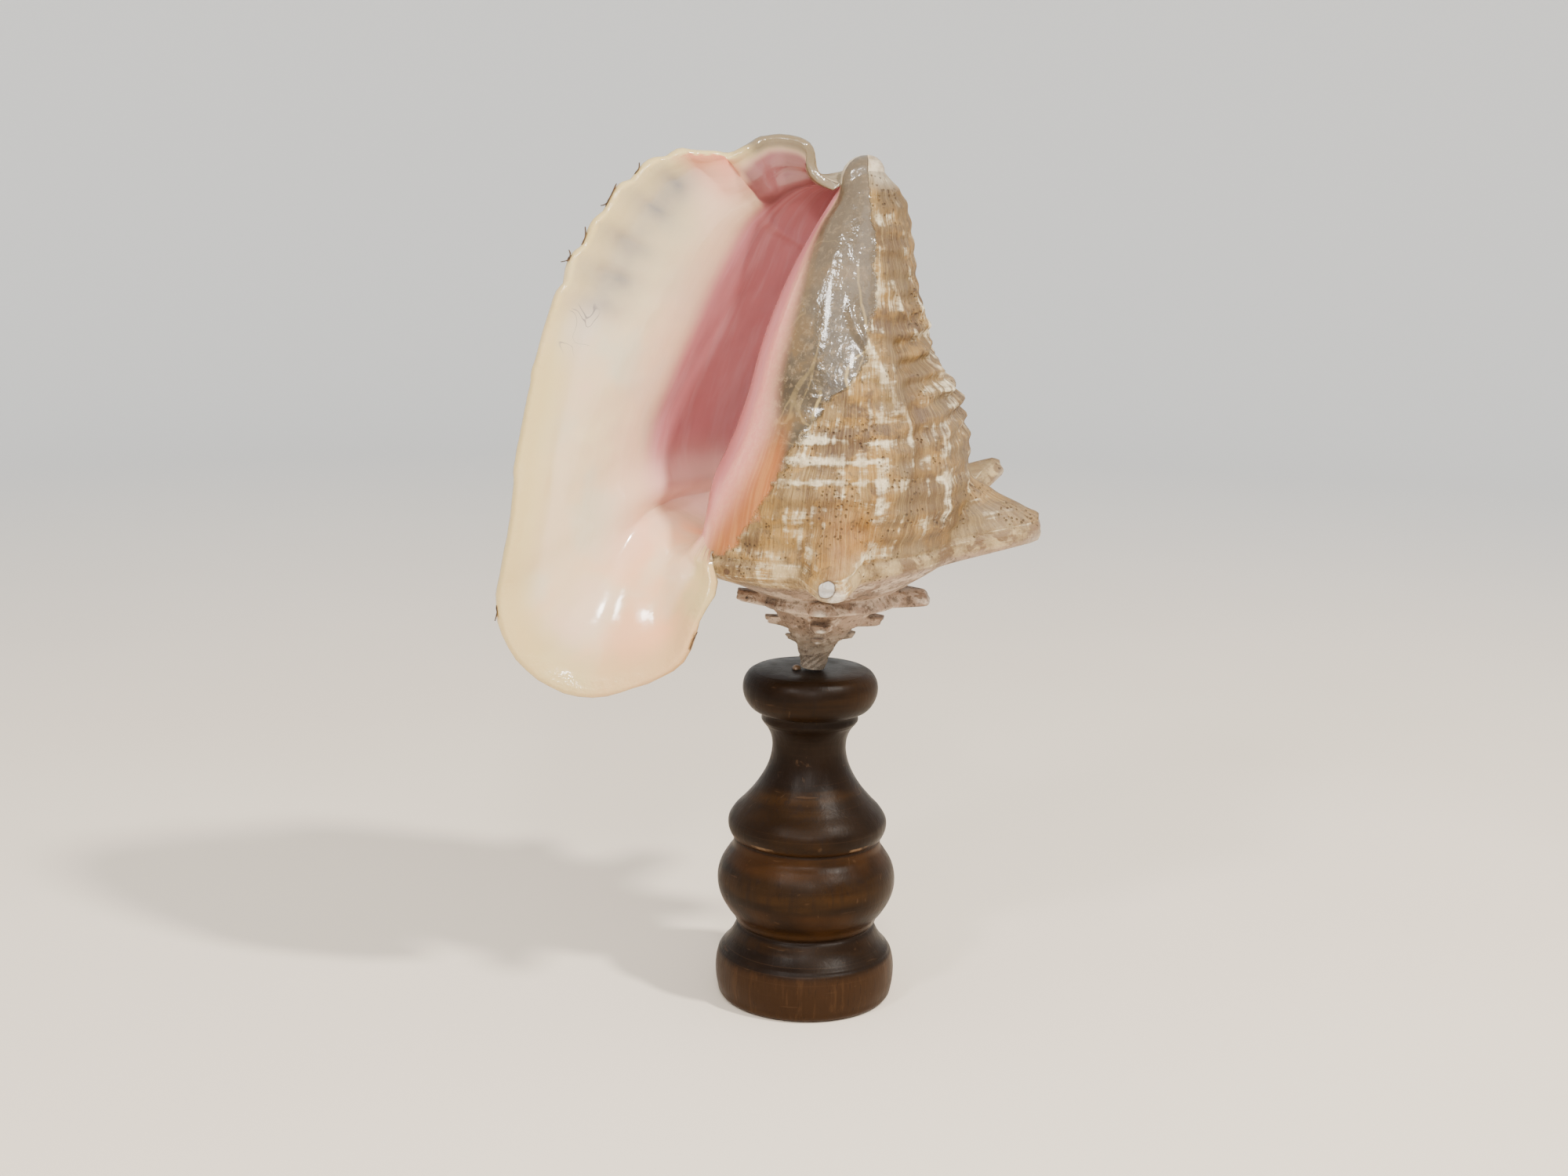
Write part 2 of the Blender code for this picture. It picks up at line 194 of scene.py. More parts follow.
def ridges() -> tuple[Ridge, ...]:
    """Growth folds of the body whorl, the groove beside the front one included.

    Returns:
        The folds, with the groove among them.
    """
    return (
        Ridge(((0.14, -0.775), (0.25, -0.752), (0.30, -0.747), (0.37, -0.757), (0.445, -0.784),
               (0.52, -0.805), (0.586, -0.837), (0.70, -0.862)), 1.9, 3.2),
        Ridge(((-0.19, -0.846), (-0.12, -0.843), (-0.07, -0.836), (0.0, -0.816), (0.04, -0.805),
               (0.11, -0.800), (0.18, -0.797), (0.28, -0.785)), 2.6, 3.4),
        Ridge(((0.36, -0.655), (0.42, -0.655), (0.484, -0.663), (0.555, -0.694), (0.64, -0.730),
               (0.76, -0.768)), 1.8, 2.8),
        Ridge(((0.50, -0.615), (0.60, -0.640), (0.72, -0.680), (0.84, -0.715)), 1.5, 3.0),
        Ridge(((0.08, -0.737), (0.24, -0.741), (0.37, -0.734), (0.48, -0.734),
               (0.62, -0.765)), -2.4, 5.0),
        Ridge(((0.05, -0.690), (0.16, -0.700), (0.26, -0.695), (0.36, -0.690)), 1.0, 4.0),
        Ridge(((0.06, -0.560), (0.25, -0.545), (0.45, -0.560), (0.70, -0.600)), 1.4, 4.0),
        Ridge(((0.06, -0.430), (0.30, -0.420), (0.55, -0.440), (0.80, -0.480)), 1.5, 4.0),
        Ridge(((0.06, -0.320), (0.30, -0.310), (0.55, -0.330), (0.80, -0.370)), 1.4, 4.0),
        Ridge(((0.06, -0.225), (0.30, -0.215), (0.55, -0.230), (0.80, -0.260)), 1.2, 4.0),
    )


def spines() -> tuple[Spine, ...]:
    """Spines of the body whorl, then the smaller ones down the spire.

    Returns:
        The spines, from the lip back to the apex.
    """
    rows = [
        (-0.842, 19.0, -4.0, 14.0, 26.0, 12.0, 1.45),
        (-0.602, 33.0, 8.0, 18.0, 30.0, 14.0, 1.50), (-0.490, 37.0, 19.0, 14.0, 18.0, 11.0, 1.45),
        (-0.370, 20.0, 6.0, 14.0, 20.0, 12.0, 1.40), (-0.267, 12.0, 2.0, 14.0, 18.0, 12.0, 1.30),
        (-1.600, 13.0, 1.0, 9.5, 8.0, 8.0, 2.10), (-1.440, 8.0, 0.5, 9.0, 8.0, 7.5, 2.00),
        (-1.290, 8.0, 0.5, 9.0, 8.0, 7.5, 2.00), (-2.100, 10.0, 0.5, 8.0, 7.0, 7.0, 2.10),
        (-1.850, 5.0, 0.5, 8.0, 7.0, 6.5, 1.90), (-2.600, 7.0, 0.0, 6.0, 5.5, 5.5, 2.00),
        (-2.390, 5.0, 0.0, 5.5, 5.0, 5.0, 1.90), (-2.840, 4.5, 0.0, 5.5, 5.0, 5.0, 1.90),
        (-3.100, 6.0, 0.0, 5.5, 4.5, 4.5, 2.00), (-3.340, 2.6, 0.0, 3.6, 3.0, 3.0, 1.80),
        (-3.600, 3.0, 0.0, 3.6, 3.0, 3.0, 1.80), (-3.840, 2.4, 0.0, 3.2, 3.0, 2.6, 1.80),
        (-4.100, 2.4, 0.0, 3.0, 2.6, 2.4, 1.80),
    ]
    return tuple(Spine(*row) for row in rows)


def knobs() -> tuple[Knob, ...]:
    """Low swellings on the side, right of the opening.

    Returns:
        The swellings.
    """
    rows = [
        (-0.610, 127.0, 4.2, 11.0, 9.0), (-0.655, 133.0, 2.6, 9.0, 8.0),
        (-0.570, 108.0, 2.6, 12.0, 8.0), (-0.640, 156.0, 2.0, 7.0, 9.0),
        (-0.700, 118.0, 1.8, 8.0, 10.0), (-0.500, 126.0, 4.0, 12.0, 9.0),
        (-0.390, 130.0, 4.0, 13.0, 10.0), (-0.280, 134.0, 3.0, 14.0, 10.0),
    ]
    return tuple(Knob(*row) for row in rows)


@dataclass(frozen=True)
class ShellForm:
    """The shell's form, the same as the solid's, with the finer relief of its surface."""

    apex: Point = (0.8, -2.0, 149.3)
    lean_degrees: float = 4.7
    length: float = 220.0
    lip_azimuth: float = 215.0
    wall: float = 3.6
    lip_wall: float = 5.0
    hollow_turns: float = 0.37
    spire_turns: float = 5.5
    flare_turns: float = 0.13
    canal_radius: float = 8.0
    canal_height: float = 213.5
    notch_radius: float = 11.5
    notch_height: float = 207.0
    shoulder_rows: tuple[tuple[float, float, float], ...] = (
        (-6.60, 4.5, -0.2), (-6.00, 4.6, -0.15), (-5.60, 4.7, 0.1), (-5.10, 5.6, 4.5),
        (-4.60, 7.6, 9.3), (-3.60, 12.6, 16.0), (-2.60, 19.5, 23.0), (-1.60, 34.0, 33.5),
        (-1.15, 45.0, 41.0), (-1.04, 58.0, 42.5), (-0.95, 55.0, 45.0), (-0.85, 53.5, 49.0),
        (-0.60, 57.0, 61.0), (-0.48, 59.5, 68.0), (-0.35, 62.0, 69.0), (-0.13, 76.0, 61.0),
        (0.0, 86.0, 58.0),
    )
    side_heights: tuple[float, ...] = (83.0, 95.0, 118.0, 140.0, 168.0, 189.0, 205.0)
    side_rows: tuple[tuple[float, ...], ...] = (
        (-1.46, 36.0, 33.5, 29.0, 25.0, 18.0, 13.0, 8.5),
        (-1.35, 39.5, 37.5, 32.5, 28.0, 21.0, 15.0, 9.5),
        (-1.14, 48.5, 45.0, 39.0, 35.5, 28.0, 19.5, 11.5),
        (-1.02, 52.0, 47.0, 40.5, 36.5, 28.0, 19.5, 11.5),
        (-0.85, 54.0, 51.0, 43.5, 37.0, 27.5, 20.0, 12.5),
        (-0.60, 59.0, 57.0, 50.0, 36.5, 27.0, 22.5, 16.5),
        (-0.35, 62.0, 60.0, 54.0, 45.0, 35.0, 28.0, 20.0),
        (-0.13, 79.0, 79.0, 73.0, 66.0, 55.0, 46.0, 31.0),
        (0.0, 87.0, 88.0, 82.0, 75.0, 64.0, 54.0, 35.0),
    )
    lip_rows: tuple[tuple[float, float, float], ...] = (
        (-40.0, -42.0, 190.0), (-44.0, -44.0, 184.0), (-47.0, -44.0, 178.0),
        (-49.0, -43.0, 170.0), (-53.0, -41.0, 162.0), (-61.0, -39.0, 155.0),
        (-72.0, -38.0, 150.0), (-85.0, -37.0, 145.0), (-99.0, -36.0, 145.0),
        (-113.0, -36.0, 151.0), (-123.0, -36.0, 160.0), (-130.0, -37.0, 174.0),
        (-131.0, -38.0, 186.0), (-128.0, -40.0, 202.0), (-124.0, -41.0, 223.0),
        (-122.0, -41.0, 246.0), (-118.0, -40.0, 264.0), (-114.0, -38.0, 284.0),
        (-110.0, -36.0, 299.0), (-105.0, -34.0, 313.0), (-99.0, -32.0, 326.0),
        (-91.0, -29.0, 339.0), (-84.0, -26.0, 350.0), (-74.0, -22.0, 360.0),
        (-59.0, -17.0, 368.0), (-45.0, -14.0, 368.0), (-36.0, -11.0, 368.0),
        (-25.0, -8.0, 374.0), (-13.0, -6.0, 375.0), (-4.0, -6.0, 371.0), (-1.0, -7.0, 361.0),
    )
    spines: tuple[Spine, ...] = field(default_factory=spines)
    knobs: tuple[Knob, ...] = field(default_factory=knobs)
    ridges: tuple[Ridge, ...] = field(default_factory=ridges)
    glaze_line: Pairs = (
        (-1.0, -1.03), (-0.3, -1.01), (0.0, -0.978), (0.04, -0.965), (0.10, -0.943),
        (0.18, -0.930), (0.30, -0.908), (0.38, -0.875), (0.47, -0.830), (0.61, -0.808),
        (0.83, -0.802), (0.95, -0.82), (1.0, -0.84),
    )
    pink_line: Pairs = (
        (-1.0, -1.05), (0.0, -1.025), (0.03, -1.017), (0.094, -0.995), (0.18, -0.979),
        (0.305, -0.968), (0.477, -0.979), (0.64, -0.986), (0.85, -1.012), (1.0, -1.03),
    )

    def placed(self, points: Array) -> Array:
        """Shell coordinates, apex at zero and axis up, leaned and set on the stand.

        Args:
            points: shell coordinates in millimetres.

        Returns:
            The moved points.
        """
        lean = math.radians(self.lean_degrees)
        x, y, z = points[..., 0], points[..., 1], points[..., 2]
        turned = (x * math.cos(lean) + z * math.sin(lean), y,
                  z * math.cos(lean) - x * math.sin(lean))
        return np.stack(turned, axis=-1) + np.array(self.apex)

    def around(self, turn: float, section: Array) -> Array:
        """Points at one turn from their radii and heights.

        Args:
            turn: turns, 0 at the lip.
            section: radii and heights of a column.

        Returns:
            The points.
        """
        angle = math.radians(self.lip_azimuth) + 2.0 * math.pi * turn
        r, h = section[..., 0], section[..., 1]
        flat = np.stack([r * math.cos(angle), r * math.sin(angle), h], axis=-1)
        return self.placed(flat)

    def shoulder(self, turn: float) -> Array:
        """Radius and height of the shoulder."""
        table = np.array(self.shoulder_rows)
        return through(table[:, 0], table[:, 1:], turn)

    def seam(self, turn: float) -> Array:
        """Where the next whorl is laid against this one, proud at the lip's root.

        Args:
            turn: turns, 0 at the lip.

        Returns:
            Its radius and height.
        """
        r, h = self.shoulder(turn)
        late = ease((turn + 1.0) / 0.3)
        root = math.exp(-((turn + 0.995) / 0.07) ** 2)
        full = 0.17 * ease((-1.85 - turn) / 0.5)
        return np.array([r * (0.93 + 0.05 * late + 0.09 * root + full),
                         h + r * (0.16 - 0.02 * late)])

    def canal_end(self, turn: float) -> Array:
        """Radius and height of the canal's rim, dropping to the notch at the lip.

        Args:
            turn: turns, 0 at the lip.

        Returns:
            Its radius and height.
        """
        off = min(abs(turn), abs(turn + 1.0)) * 360.0
        near = math.exp(-(off / 32.0) ** 2)
        r = self.canal_radius + (self.notch_radius - self.canal_radius) * near
        h = self.canal_height + (self.notch_height - self.canal_height) * near
        return np.array([r, h])

    def ramp(self, turn: float, part: Array) -> Array:
        """Radii and heights from the seam below, over the shoulder, to the seam above.

        Args:
            turn: turns, 0 at the lip.
            part: shares of the ramp, 0 to 1.

        Returns:
            Radius and height of each share.
        """
        start = self.seam(turn - 1.0)
        top = self.shoulder(turn)
        end = self.seam(turn)
        late = ease((turn + 1.3) / 0.4)
        knee = start + (top - start) * np.array([0.34 + 0.16 * late, 0.60 - 0.14 * late])
        return through([0.0, 0.34, 0.66, 1.0], [start, knee, top, end], part)

    def side(self, turn: float, part: Array) -> Array:
        """Radii and heights from the shoulder's seam up to the canal's rim.

        Args:
            turn: turns, 0 at the lip.
            part: shares of the side, 0 to 1.

        Returns:
            Radius and height of each share.
        """
        table = np.array(self.side_rows)
        radii = through(table[:, 0], table[:, 1:], turn)
        first = self.seam(turn)
        last = self.canal_end(turn)
        heights = np.array(self.side_heights)
        if turn < -1.0:
            deep = ease((-1.0 - turn) / self.hollow_turns)
            last = (last
                    - np.array([6.0 * deep,
                                26.0 * deep + 0.6 * (1.0 - math.exp((1.0 + turn) / 0.004))]))
            heights = first[1] + (heights - first[1]) * (1.0 - 0.13 * deep)
        points = np.vstack([first, np.stack([radii, heights], axis=1), last])
        marks = lengths(points)
        return through(marks / marks[-1], points, part)

    def spined(self, turn: float, section: Array) -> Array:
        """The section with the spines and knobs near this turn pushed out.

        Args:
            turn: turns, 0 at the lip.
            section: radii and heights of a column.

        Returns:
            The new radii and heights.
        """
        top = self.shoulder(turn)
        r, h = section[:, 0].copy(), section[:, 1].copy()
        out = np.zeros_like(r)
        rise = np.zeros_like(r)
        over = np.maximum(h - top[1] - 2.0, 0.0)
        under = np.hypot(r - top[0], h - top[1])
        for spine in self.spines:
            along = top[0] * math.radians(360.0 * (turn - spine.turn))
            if abs(along) > spine.half * 1.3:
                continue
            across = np.where(h >= top[1], over / spine.up, under / spine.down)
            away = np.hypot(along / spine.half, across)
            swell = np.minimum(np.maximum(0.0, 1.0 - away) ** 1.35 * spine.blunt, 1.0)
            out += spine.reach * swell
            rise += spine.lift * swell
        for knob in self.knobs:
            along = top[0] * math.radians(360.0 * (turn - knob.turn)) * 0.8
            out += (knob.reach
                    * np.exp(-(along / knob.along) ** 2 - ((h - knob.height) / knob.across) ** 2))
        return np.stack([r + out, h + rise], axis=1)

    def lip_edge(self, share: Array) -> Array:
        """Points on the lip's edge, by share of the way from spire to notch.

        Args:
            share: shares of the edge, 0 to 1.

        Returns:
            A point for each share.
        """
        first = self.around(-1.0, self.spined(-1.0, self.seam(-1.0)[None, :]))[0]
        last = self.around(-1.0, self.canal_end(-1.0))
        points = np.vstack([first, np.array(self.lip_rows), last])
        marks = lengths(points)
        return through(marks / marks[-1], points, share)


# Mesh of the shell

class Face(Enum):
    """The patches that make up the shell's closed surface."""

    OUTSIDE = 0
    PARIETAL = 1
    INSIDE = 2
    RIM = 3


@dataclass
class Patch:
    """A grid of points with the values that its material reads."""

    points: Array
    growth: Array
    part: Array
    masks: dict[str, Array]


MASKS = ("inner", "glaze", "pink", "blush", "lobe", "edge", "spire", "worn", "upper", "pale",
         "dark", "orange", "dip_shade_mask", "trace", "bands", "gilt", "canal", "tawny", "turn")


def blank(shape: tuple[int, int]) -> dict[str, Array]:
    """Every mask of a patch, empty."""
    return {name: np.zeros(shape) for name in MASKS}


@dataclass
class ConchShell:
    """The shell as one closed surface with its real hollow."""

    form: ShellForm = field(default_factory=ShellForm)
    columns_plain: int = 165
    columns_flare: int = 66
    rows_ramp: int = 26
    rows_side: int = 128
    rim_rows: int = 6
    ramp_share: float = 0.36
    scallop_from: float = 0.655
    scallop_step: float = 0.0385
    weld: float = 0.000004
    canal_above_middle: float = 0.07
    apex_reach: float = 0.02
    canal_rings: int = 6
    apex_rings: int = 4
    dip_places: Pairs = (
        (0.640, 0.6), (0.672, 1.0), (0.711, 1.0), (0.754, 1.0), (0.790, 0.9), (0.822, 0.5),
    )

    def __post_init__(self) -> None:
        """Lay out the columns and rows."""
        f = self.form.flare_turns
        plain = -1.0 + (1.0 - f) * np.arange(self.columns_plain) / self.columns_plain
        flare = -f + f * np.arange(self.columns_flare) / self.columns_flare
        lap = np.concatenate([plain, flare])
        whole = int(math.floor(self.form.spire_turns))
        turns = np.concatenate([lap - back for back in range(whole, -1, -1)] + [[0.0]])
        self.turns = turns[turns >= -self.form.spire_turns]
        self.lap = len(lap)
        self.last = len(self.turns) - 1
        self.start = self.last - self.lap
        self.deep = int(np.argmax(self.turns >= -self.form.hollow_turns - HAIR))
        self.ramp_part = np.linspace(0.0, 1.0, self.rows_ramp + 1)
        self.side_part = np.linspace(0.0, 1.0, self.rows_side + 1)
        self.rows = self.rows_ramp + self.rows_side
        self.row_part = np.concatenate([self.ramp_part - 1.0, self.side_part[1:]])
        below = self.ramp_share
        self.share = np.concatenate([below * self.ramp_part,
                                     below + (1.0 - below) * self.side_part[1:]])
        low = ease(np.concatenate([1.0 - self.ramp_part, np.zeros(self.rows_side)]))
        high = ease(1.0 - 4.0 * (1.0 - np.concatenate([np.zeros(self.rows_ramp + 1),
                                                        self.side_part[1:]])))
        self.low = np.asarray(low)[:, None]
        self.high = np.asarray(high)[:, None]
        self.root = self.plain_column(-f)
        self.root_before = self.plain_column(-f - 0.01)
        self.edge = self.scalloped(self.form.lip_edge(self.share))
        self.rim_line = self.edge
        self.rim_out = np.zeros_like(self.edge)

    def sections(self, turn: float) -> Array:
        """Radii and heights of a whole column.

        Args:
            turn: turns, 0 at the lip.

        Returns:
            Radius and height of each row.
        """
        ramp = self.form.ramp(turn, self.ramp_part)
        side = self.form.side(turn, self.side_part[1:])
        return np.vstack([ramp, side])

    def plain_column(self, turn: float) -> Array:
        """Points of a column without spines or relief."""
        return self.form.around(turn, self.sections(turn))

    def scallops(self) -> Array:
        """Evenly spaced bumps along the lip's edge, 0 to 1."""
        return np.abs(np.sin(math.pi * (self.share - self.scallop_from) / self.scallop_step))

    def scalloped(self, edge: Array) -> Array:
        """The lip's edge with its small scallops and worn dips.

        Args:
            edge: points of the plain edge.

        Returns:
            The points of the finished edge.
        """
        s = self.share
        outward = unit(edge - edge.mean(axis=0))
        upper = band(s, 0.62, 0.05, 0.84, 0.03)
        lower = band(s, 0.03, 0.05, 0.62, 0.08)
        lobe = band(s, 0.85, 0.02, 0.97, 0.03)
        wander = ripple(s * 42.0, s * 0.0, 3.0) * 0.7 + ripple(s * 95.0, s * 0.0, 8.0) * 0.45
        reach = (upper * (self.scallops() * 3.3 - 1.9 + wander * 0.5) + lower * wander * 1.0
                 + lobe * wander * 0.8)
        return edge + outward * reach[:, None]

    def swept(self, u: float) -> Array:
        """Column of the outer surface at a share of the way out to the lip's edge.

        Args:
            u: share of the way out to the lip's edge.

        Returns:
            A point for each row.
        """
        gap = self.edge - self.root
        size = np.linalg.norm(gap, axis=1, keepdims=True)
        leave = unit(self.root - self.root_before)
        arrive = unit(gap * np.array([1.0, 0.55, 1.0]))
        a = self.root + leave * size * 0.40
        b = self.edge - arrive * size * 0.42
        w = 1.0 - u
        return w ** 3 * self.root + 3 * w * w * u * a + 3 * w * u * u * b + u ** 3 * self.edge

    def flared_column(self, turn: float) -> Array:
        """Points of a column where the whorl spreads into the lip.

        Args:
            turn: turns, 0 at the lip.

        Returns:
            A point for each row.
        """
        f = self.form.flare_turns
        u = (turn + f) / f
        points = self.swept(u)
        laid = self.form.seam(turn - 1.0)[None, :]
        seam = self.form.around(turn, self.form.spined(turn - 1.0, laid))[0]
        rim = self.form.around(turn, self.form.canal_end(turn))
        points = points + self.low * (seam - points[0]) + self.high * (rim - points[-1])
        return points + self.lip_relief(u)

    def lip_relief(self, u: float) -> Array:
        """Dips behind the scallops, the crease beside the canal lobe and soft waves.

        Args:
            u: share of the way out to the lip's edge.

        Returns:
            How far each row moves.
        """
        s = self.share
        dips = self.dips(u, 0.0150, 0.15) * 2.2
        crease = np.exp(-((s - 0.878) / 0.008) ** 2) * ease((u - 0.05) / 0.3) * 3.4
        hollow = np.exp(-((s - 0.915) / 0.026) ** 2) * ease((u - 0.1) / 0.5) * 3.0
        knurl = self.scallops() * ease((s - 0.62) / 0.05)
        knurl = knurl * ease((0.84 - s) / 0.03) * ease((u - 0.84) / 0.1) * 1.3
        roll = ease((u - 0.86) / 0.14) * band(s, 0.55, 0.1, 0.86, 0.03) * 0.9
        soft = ripple(s * 7.0, np.full_like(s, u * 2.0), 2.0) * 1.3 * math.sin(math.pi * u)
        waves = ripple(s * 26.0, np.full_like(s, u * 1.4), 4.0) * 0.35 * ease(u / 0.5)
        relief = np.zeros((len(s), 3))
        calm = (1.0 - self.low[:, 0]) * (1.0 - self.high[:, 0])
        lobe_fold = np.exp(-((self.row_part + 0.56) / 0.045) ** 2) * ease((u - 0.1) / 0.2)
        lobe_fold = lobe_fold * ease((0.95 - u) / 0.12) * 1.5
        margin = math.exp(-((u - 0.9) / 0.045) ** 2) * 1.3 * band(s, 0.33, 0.06, 0.66, 0.05)
        lobe_wave = (ripple(s * 20.0, np.full_like(s, u * 2.2), 11.0) * 0.9
                     * ease((0.34 - s) / 0.05) * ease(s / 0.05))
        lobe_wave = lobe_wave * band(u, 0.1, 0.3, 1.0, 0.1)
        relief[:, 1] = dips - crease + hollow - roll - knurl - lobe_fold + lobe_wave - margin
        relief[:, 1] += (soft + waves) * calm
        return relief

    def dips(self, u: float, wide: float = 0.0135, deep: float = 0.13) -> Array:
        """Soft hollows behind the upper margin, 0 to 1.

        Args:
            u: share of the way out to the lip's edge.
            wide: width of each along the edge.
            deep: width of each across the lip.

        Returns:
            The strength at each row.
        """
        total = np.zeros_like(self.share)
        for at, size in self.dip_places:
            total += size * np.exp(-((self.share - at) / wide) ** 2)
        return total * math.exp(-((u - 0.80) / deep) ** 2)

    def base_column(self, turn: float) -> Array:
        """Points of a column of the smooth surface that the wall is measured from.

        Args:
            turn: turns, 0 at the lip.

        Returns:
            A point for each row.
        """
        if turn > -self.form.flare_turns + HAIR:
            return self.flared_column(turn)
        return self.plain_column(turn)

    def outer_column(self, turn: float) -> Array:
        """Points of a column of the outside, with spines and relief.

        Args:
            turn: turns, 0 at the lip.

        Returns:
            A point for each row.
        """
        if turn > -self.form.flare_turns + HAIR:
            return self.flared_column(turn)
        section = self.form.spined(turn, self.sections(turn))
        return self.form.around(turn, self.relief(turn, section))

    def relief(self, turn: float, section: Array) -> Array:
        """Spiral cords and growth folds of the outside, added to a section.

        Args:
            turn: turns, 0 at the lip.
            section: radii and heights of a column.

        Returns:
            The new radii and heights.
        """
        r, h = section[:, 0], section[:, 1]
        part = self.row_part
        still = part * 0.0
        edge_fade = ease((-self.form.flare_turns - turn) / 0.04)
        rough = 1.0 - self.callus(turn, part)
        growth = turn * 2.0 * math.pi * 57.0
        out = still.copy()
        if turn >= -1.0:
            body = band(part, -0.25, 0.2, 0.985, 0.06) * edge_fade
            cords = (0.45
                     * np.cos(part * 2.0 * math.pi * 19.0
                              + 0.9 * ripple(part * 3.0, still + turn * 5.0, 4.0)))
            side = band(turn, -0.78, 0.04, -0.50, 0.08)
            middle = band(part, 0.22, 0.1, 0.66, 0.12)
            ribs = 1.15 * side * middle * np.cos(part * 2.0 * math.pi * 17.5 - turn * 26.0)
            folds = 0.7 * ripple(growth / 9.0 + part * 1.2, part * 1.3, 5.0)
            folds = folds + 0.40 * ripple(growth / 3.9 + part * 2.0, part * 3.2, 9.0)
            out = (cords + ribs + folds * 1.2) * body * rough
            for ridge in self.form.ridges:
                out = out + ridge.height * ridge.strength(turn, part) * edge_fade
            dull = self.callus(turn, part) * body
            out = out + 0.5 * dull * ripple(part * 5.0, still + growth / 22.0, 3.0)
        small = ease((part + 1.0) / 0.15) * ease((-part) / 0.15)
        lines = (0.3 * ripple(part * 9.0, still + growth / 24.0, 6.0)
                 + 0.22 * ripple(part * 22.0, still + growth / 60.0, 2.0))
        out = (out
               + small * lines * np.minimum(r / 22.0, 1.2) * (edge_fade if turn >= -1.0 else 1.0))
        nicks = (0.8 * ripple(still + growth / 3.0, part * 6.0, 7.0) * ease((-2.2 - turn) / 0.4)
                 * small)
        return np.stack([r + out + nicks, h], axis=1)

    def callus(self, turn: float, part: Array) -> Array:
        """Share of glaze over the outside, from the lip's root round to the front.

        Args:
            turn: turns, 0 at the lip.
            part: share of the column, -1 to 1.

        Returns:
            The share at each row.
        """
        if turn < -1.0:
            return part * 0.0
        table = np.array(self.form.glaze_line)
        line = through(table[:, 0], table[:, 1], part)
        wander = (0.01 * ripple(part * 9.0, part * 0.0, 1.0)
                  + 0.006 * ripple(part * 31.0, part * 0.0, 6.0))
        return ease((line + wander - turn) / 0.05 + 0.5)

    def rosy(self, turn: float, part: Array) -> Array:
        """Share of pink over the columella and the wall inside it.

        Args:
            turn: turns, 0 at the lip.
            part: share of the column, -1 to 1.

        Returns:
            The share at each row.
        """
        table = np.array(self.form.pink_line)
        line = through(table[:, 0], table[:, 1], part)
        wander = 0.006 * ripple(part * 7.0, part * 0.0, 5.0)
        return ease((line + wander - turn) / 0.062 + 0.5)

    def grow(self) -> Array:
        """Distance grown, in decimetres, at each column.

        Returns:
            One distance for each column.
        """
        steps = [0.0]
        for a, b in zip(self.turns, self.turns[1:]):
            if a >= -self.form.flare_turns - HAIR:
                steps.append(0.95 * (b - a) / self.form.flare_turns)
            else:
                r = self.form.shoulder(0.5 * (a + b))[0]
                steps.append(2.0 * math.pi * r * (b - a) / 100.0)
        return np.cumsum(steps)

    def patches(self) -> dict[Face, Patch]:
        """Every grid of the closed surface.

        Returns:
            The grids, which share their borders.
        """
        growth = self.grow()
        outer = np.stack([self.outer_column(t) for t in self.turns])
        base_turns = self.turns[self.deep - 1:]
        base = np.stack([self.base_column(t) for t in base_turns])
        along = np.gradient(base, axis=0)
        across = np.gradient(base, axis=1)
        inward = unit(np.cross(across, along))[1:]
        base = base[1:]
        turns = base_turns[1:]
        wall = self.form.wall + (self.form.lip_wall - self.form.wall) * ease((turns + 0.08) / 0.06)
        taper = 0.75 + 0.25 * ease(self.from_ends() / 12.0)
        depth = wall[:, None] * taper[None, :] + self.roof_fold(turns)
        inside = base + inward * depth[:, :, None]
        calm = ease((turns + 0.12) / 0.03)[:, None] * ease((0.74 - self.row_part[1:-1]) / 0.04)
        calm = calm[:, :, None]
        for _ in range(2):
            near = 0.5 * inside[:, 1:-1] + 0.25 * (inside[:, :-2] + inside[:, 2:])
            inside[:, 1:-1] += calm * (near - inside[:, 1:-1])
        core_turns = self.turns[self.deep - self.lap:self.start + 1]
        core = np.stack([self.parietal_column(t) for t in core_turns])
        core[-1] = outer[self.start, self.rows_ramp:]
        inside[:, 0] = core[:, 0]
        inside[:, -1] = core[:, -1]
        outer[self.lap:, 0] = outer[:self.last - self.lap + 1, self.rows_ramp]
        outer[-1, -1] = outer[self.start, -1]
        inside[-1, 0] = outer[-1, 0]
        inside[-1, -1] = outer[-1, -1]
        rim = self.rim(outer[-1], inside[-1], base[-1] - base[-2])
        self.rim_line = rim[self.rim_rows // 2]
        self.rim_out = unit(base[-1] - base[-2])
        rows = self.row_part
        return {
            Face.OUTSIDE: Patch(outer, growth, rows, self.outer_masks()),
            Face.PARIETAL: Patch(core, growth[self.deep - self.lap:self.start + 1],
                                 rows[self.rows_ramp:], self.core_masks(core_turns)),
            Face.INSIDE: Patch(inside, growth[self.deep:], rows, self.inner_masks(turns)),
            Face.RIM: Patch(rim, np.full(len(rim), growth[-1]), rows, self.rim_masks(len(rim))),
        }

    def roof_fold(self, turns: Array) -> Array:
        """Low fold across the roof of the opening and soft waves in its wall.

        Args:
            turns: turns, 0 at the lip.

        Returns:
            Thickness to add at each column and row.
        """
        part = self.row_part[None, :]
        reach = band(turns, -0.30, 0.05, -0.115, 0.05)
        fold = (1.5 * np.exp(-((part - 0.735 - 0.4 * (turns[:, None] + 0.17)) / 0.014) ** 2)
                * reach[:, None])
        inner = ease((-0.06 - turns) / 0.06)[:, None] * band(part, -0.9, 0.3, 0.95, 0.2)
        waves = 0.7 * ripple(part * 2.2, turns[:, None] * 16.0 + part * 3.0, 5.0)
        return fold + waves * inner

